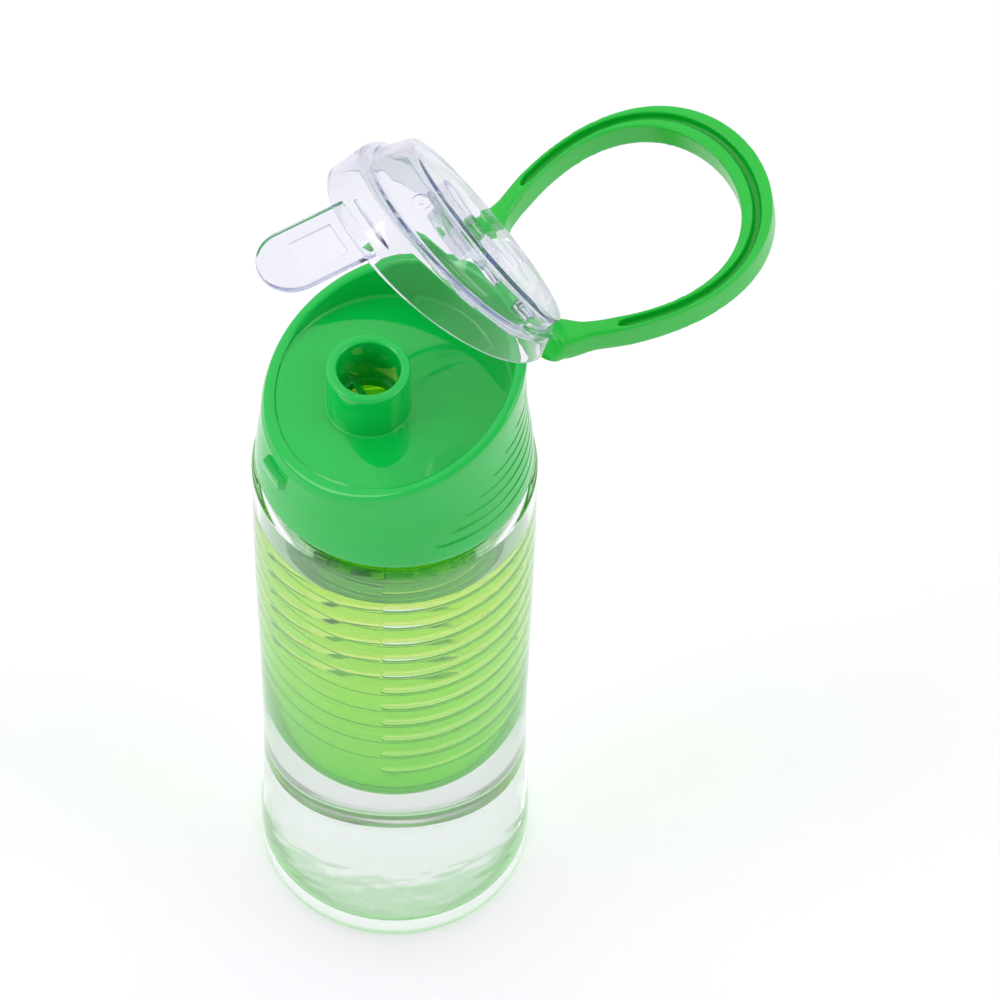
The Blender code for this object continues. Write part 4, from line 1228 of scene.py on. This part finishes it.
def carry_loop():
    """A grooved band on two round feet. Remeshing and smoothing round it as a soft moulding is."""
    low = BAND_TOP - BAND_DEPTH

    def arc(side_inset, end_inset):
        return [loop_point(turn, side_inset, end_inset) for turn in loop_turns(FOOT_FLARE, end_inset)]

    flare = FOOT_START + FLARE_INSET
    outline = [(FOOT_END, BAND_START)] + arc(0, 0)
    outline += [(-FOOT_END, BAND_START), (-FOOT_START, BAND_START), (-flare, FLARE_START)]
    outline += arc(BAND_SIDE, BAND_END)[::-1] + [(flare, FLARE_START), (FOOT_START, BAND_START)]
    band = extruded("carry_loop_band", [(x, y, low) for x, y in outline], (0, 0, BAND_DEPTH))
    taper = [(FOOT_START, FOOT_RADIUS), (FOOT_END - FOOT_TAPER, FOOT_RADIUS), (FOOT_END, FOOT_END_RADIUS)]
    for side, way in (("right", 1), ("left", -1)):
        combine(band, "UNION", rod(f"foot_{side}", [(way * x, radius) for x, radius in taper], 0, 0))
    combine(band, "DIFFERENCE", loop_groove())
    fine = band.modifiers.new("even", "REMESH")
    fine.mode = "VOXEL"
    fine.voxel_size = LOOP_VOXEL
    fine.use_smooth_shade = True
    smooth(band, LOOP_SOFT_ROUNDS)
    feet = band.vertex_groups.new(name="feet")
    for corner in band.data.vertices:
        near = (FOOT_SOFT_END - corner.co.y) / (FOOT_SOFT_END - FOOT_SOFT_START)
        if near > 0:
            feet.add([corner.index], min(near, 1.0), "REPLACE")
    smooth(band, FOOT_SOFT_ROUNDS, feet.name)
    hinge = Vector((0, HINGE_Y, HINGE_HEIGHT))
    band.data.transform(Matrix.Translation(hinge) @ Matrix.Rotation(LOOP_RISE, 4, "X"))
    return band


# The pieces on their bodies

finish_piece(bottle_shell(), clear_look, "bottle", "clear_plastic", "bottle_body")
finish_piece(drink(), drink_look, "bottle", "clear_plastic")
finish_piece(basket(), basket_look, "basket", "tinted_plastic", "infuser_basket")
finish_piece(lid(), lid_look, "lid_body", "green_plastic", "lid")
finish_piece(flip_cover(), cover_look, "cover", "cover_plastic", "flip_cover")
finish_piece(spout_seal(), seal_look, "cover", "silicone", "spout_seal")
finish_piece(carry_loop(), loop_look, "loop", "loop_plastic", "carry_loop")
# These two stay as the CAD has them.
for node, look in (("lid_gasket", seal_look), ("hinge_pin", cover_look)):
    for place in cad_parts[node].material_slots:
        place.material = look


# Stage, light and camera


def stage():
    mesh = bmesh.new()
    corners = [(-1, -1, 0), (1, -1, 0), (1, 1, 0), (-1, 1, 0)]
    mesh.faces.new([mesh.verts.new(Vector(corner) * FLOOR_REACH) for corner in corners])
    floor = made("floor", mesh)
    floor.location.z = -FLOOR_DROP
    look = bpy.data.materials.new("pale_floor")
    look.use_nodes = True
    shader = look.node_tree.nodes["Principled BSDF"]
    socket(shader, "Base Color", FLOOR_COLOUR)
    socket(shader, "Roughness", FLOOR_ROUGHNESS)
    socket(shader, "Specular IOR Level", FLOOR_SHEEN)
    floor.data.materials.append(look)


def away(azimuth, elevation):
    """Direction from the bottle at this turn from the front and this height above the floor."""
    level = math.cos(elevation)
    return Vector((math.sin(azimuth) * level, -math.cos(azimuth) * level, math.sin(elevation)))


def lamp(name, azimuth, width, power):
    """A softbox beside the bottle, aimed at its middle."""
    back = away(azimuth, LAMP_ELEVATION)
    data = bpy.data.lights.new(name, "AREA")
    data.shape = "RECTANGLE"
    data.size = width
    data.size_y = LAMP_TALL
    data.energy = power
    light = bpy.data.objects.new(name, data)
    bpy.context.scene.collection.objects.link(light)
    light.location = Vector((0, 0, LAMP_AIM)) + back * LAMP_DISTANCE
    light.rotation_mode = "QUATERNION"
    light.rotation_quaternion = (-back).to_track_quat("-Z", "Y")


def sky():
    """White above, a little darker low down and on the side that the bottle is looked at from."""
    world = bpy.data.worlds.new("studio")
    bpy.context.scene.world = world
    world.use_nodes = True
    nodes, links = world.node_tree.nodes, world.node_tree.links
    background = nodes["Background"]
    place = nodes.new("ShaderNodeTexCoord").outputs["Generated"]
    height = shade(nodes, links, "ShaderNodeSeparateXYZ", {}, {"Vector": place}).outputs["Z"]
    spread = shade(nodes, links, "ShaderNodeMapRange", {"From Min": SKY_LOW}, {"Value": height})
    ramp = shade(nodes, links, "ShaderNodeValToRGB", {}, {"Fac": spread.outputs["Result"]})
    ramp.color_ramp.elements[0].color = SKY_LOW_COLOUR
    ramp.color_ramp.elements[1].position = SKY_HIGH
    ramp.color_ramp.elements[1].color = SKY_HIGH_COLOUR
    links.new(ramp.outputs["Color"], background.inputs["Color"])
    facing = shade(nodes, links, "ShaderNodeVectorMath", {1: DIM_SIDE}, {0: place})
    facing.operation = "DOT_PRODUCT"
    limits = {"From Min": DIM_START, "From Max": DIM_FULL, "To Min": SKY_STRENGTH, "To Max": DIM_STRENGTH}
    fall = shade(nodes, links, "ShaderNodeMapRange", limits, {"Value": facing.outputs["Value"]})
    fall.interpolation_type = "SMOOTHSTEP"
    links.new(fall.outputs["Result"], background.inputs["Strength"])


def camera():
    back = away(VIEW_AZIMUTH, VIEW_ELEVATION)
    right = Vector((math.cos(VIEW_AZIMUTH), math.sin(VIEW_AZIMUTH), 0))
    target = right * VIEW_SIDE + Vector((0, 0, VIEW_HEIGHT))
    up = back.cross(right)
    turned_right = right * math.cos(VIEW_ROLL) + up * math.sin(VIEW_ROLL)
    turned_up = up * math.cos(VIEW_ROLL) - right * math.sin(VIEW_ROLL)
    data = bpy.data.cameras.new("camera")
    data.lens = LENS
    data.sensor_width = SENSOR
    data.sensor_fit = "HORIZONTAL"
    data.clip_start = CLIP_START
    data.clip_end = CLIP_END
    eye = bpy.data.objects.new("camera", data)
    bpy.context.scene.collection.objects.link(eye)
    place = Matrix((turned_right, turned_up, back)).transposed().to_4x4()
    place.translation = target + back * VIEW_DISTANCE
    eye.matrix_world = place
    bpy.context.scene.camera = eye


stage()
sky()
lamp("key_left", VIEW_AZIMUTH - math.radians(75), width=0.55, power=3.3)
lamp("key_right", VIEW_AZIMUTH + math.radians(78), width=0.45, power=2.6)
camera()
scene = bpy.context.scene
scene.view_settings.view_transform = "Standard"
scene.view_settings.look = "None"
# Light that is thrown back inside clear plastic counts as glossy, so few bounces would leave black lines.
scene.cycles.max_bounces = BOUNCES
scene.cycles.glossy_bounces = BOUNCES
scene.cycles.transmission_bounces = BOUNCES
scene.cycles.transparent_max_bounces = CLEAR_BOUNCES
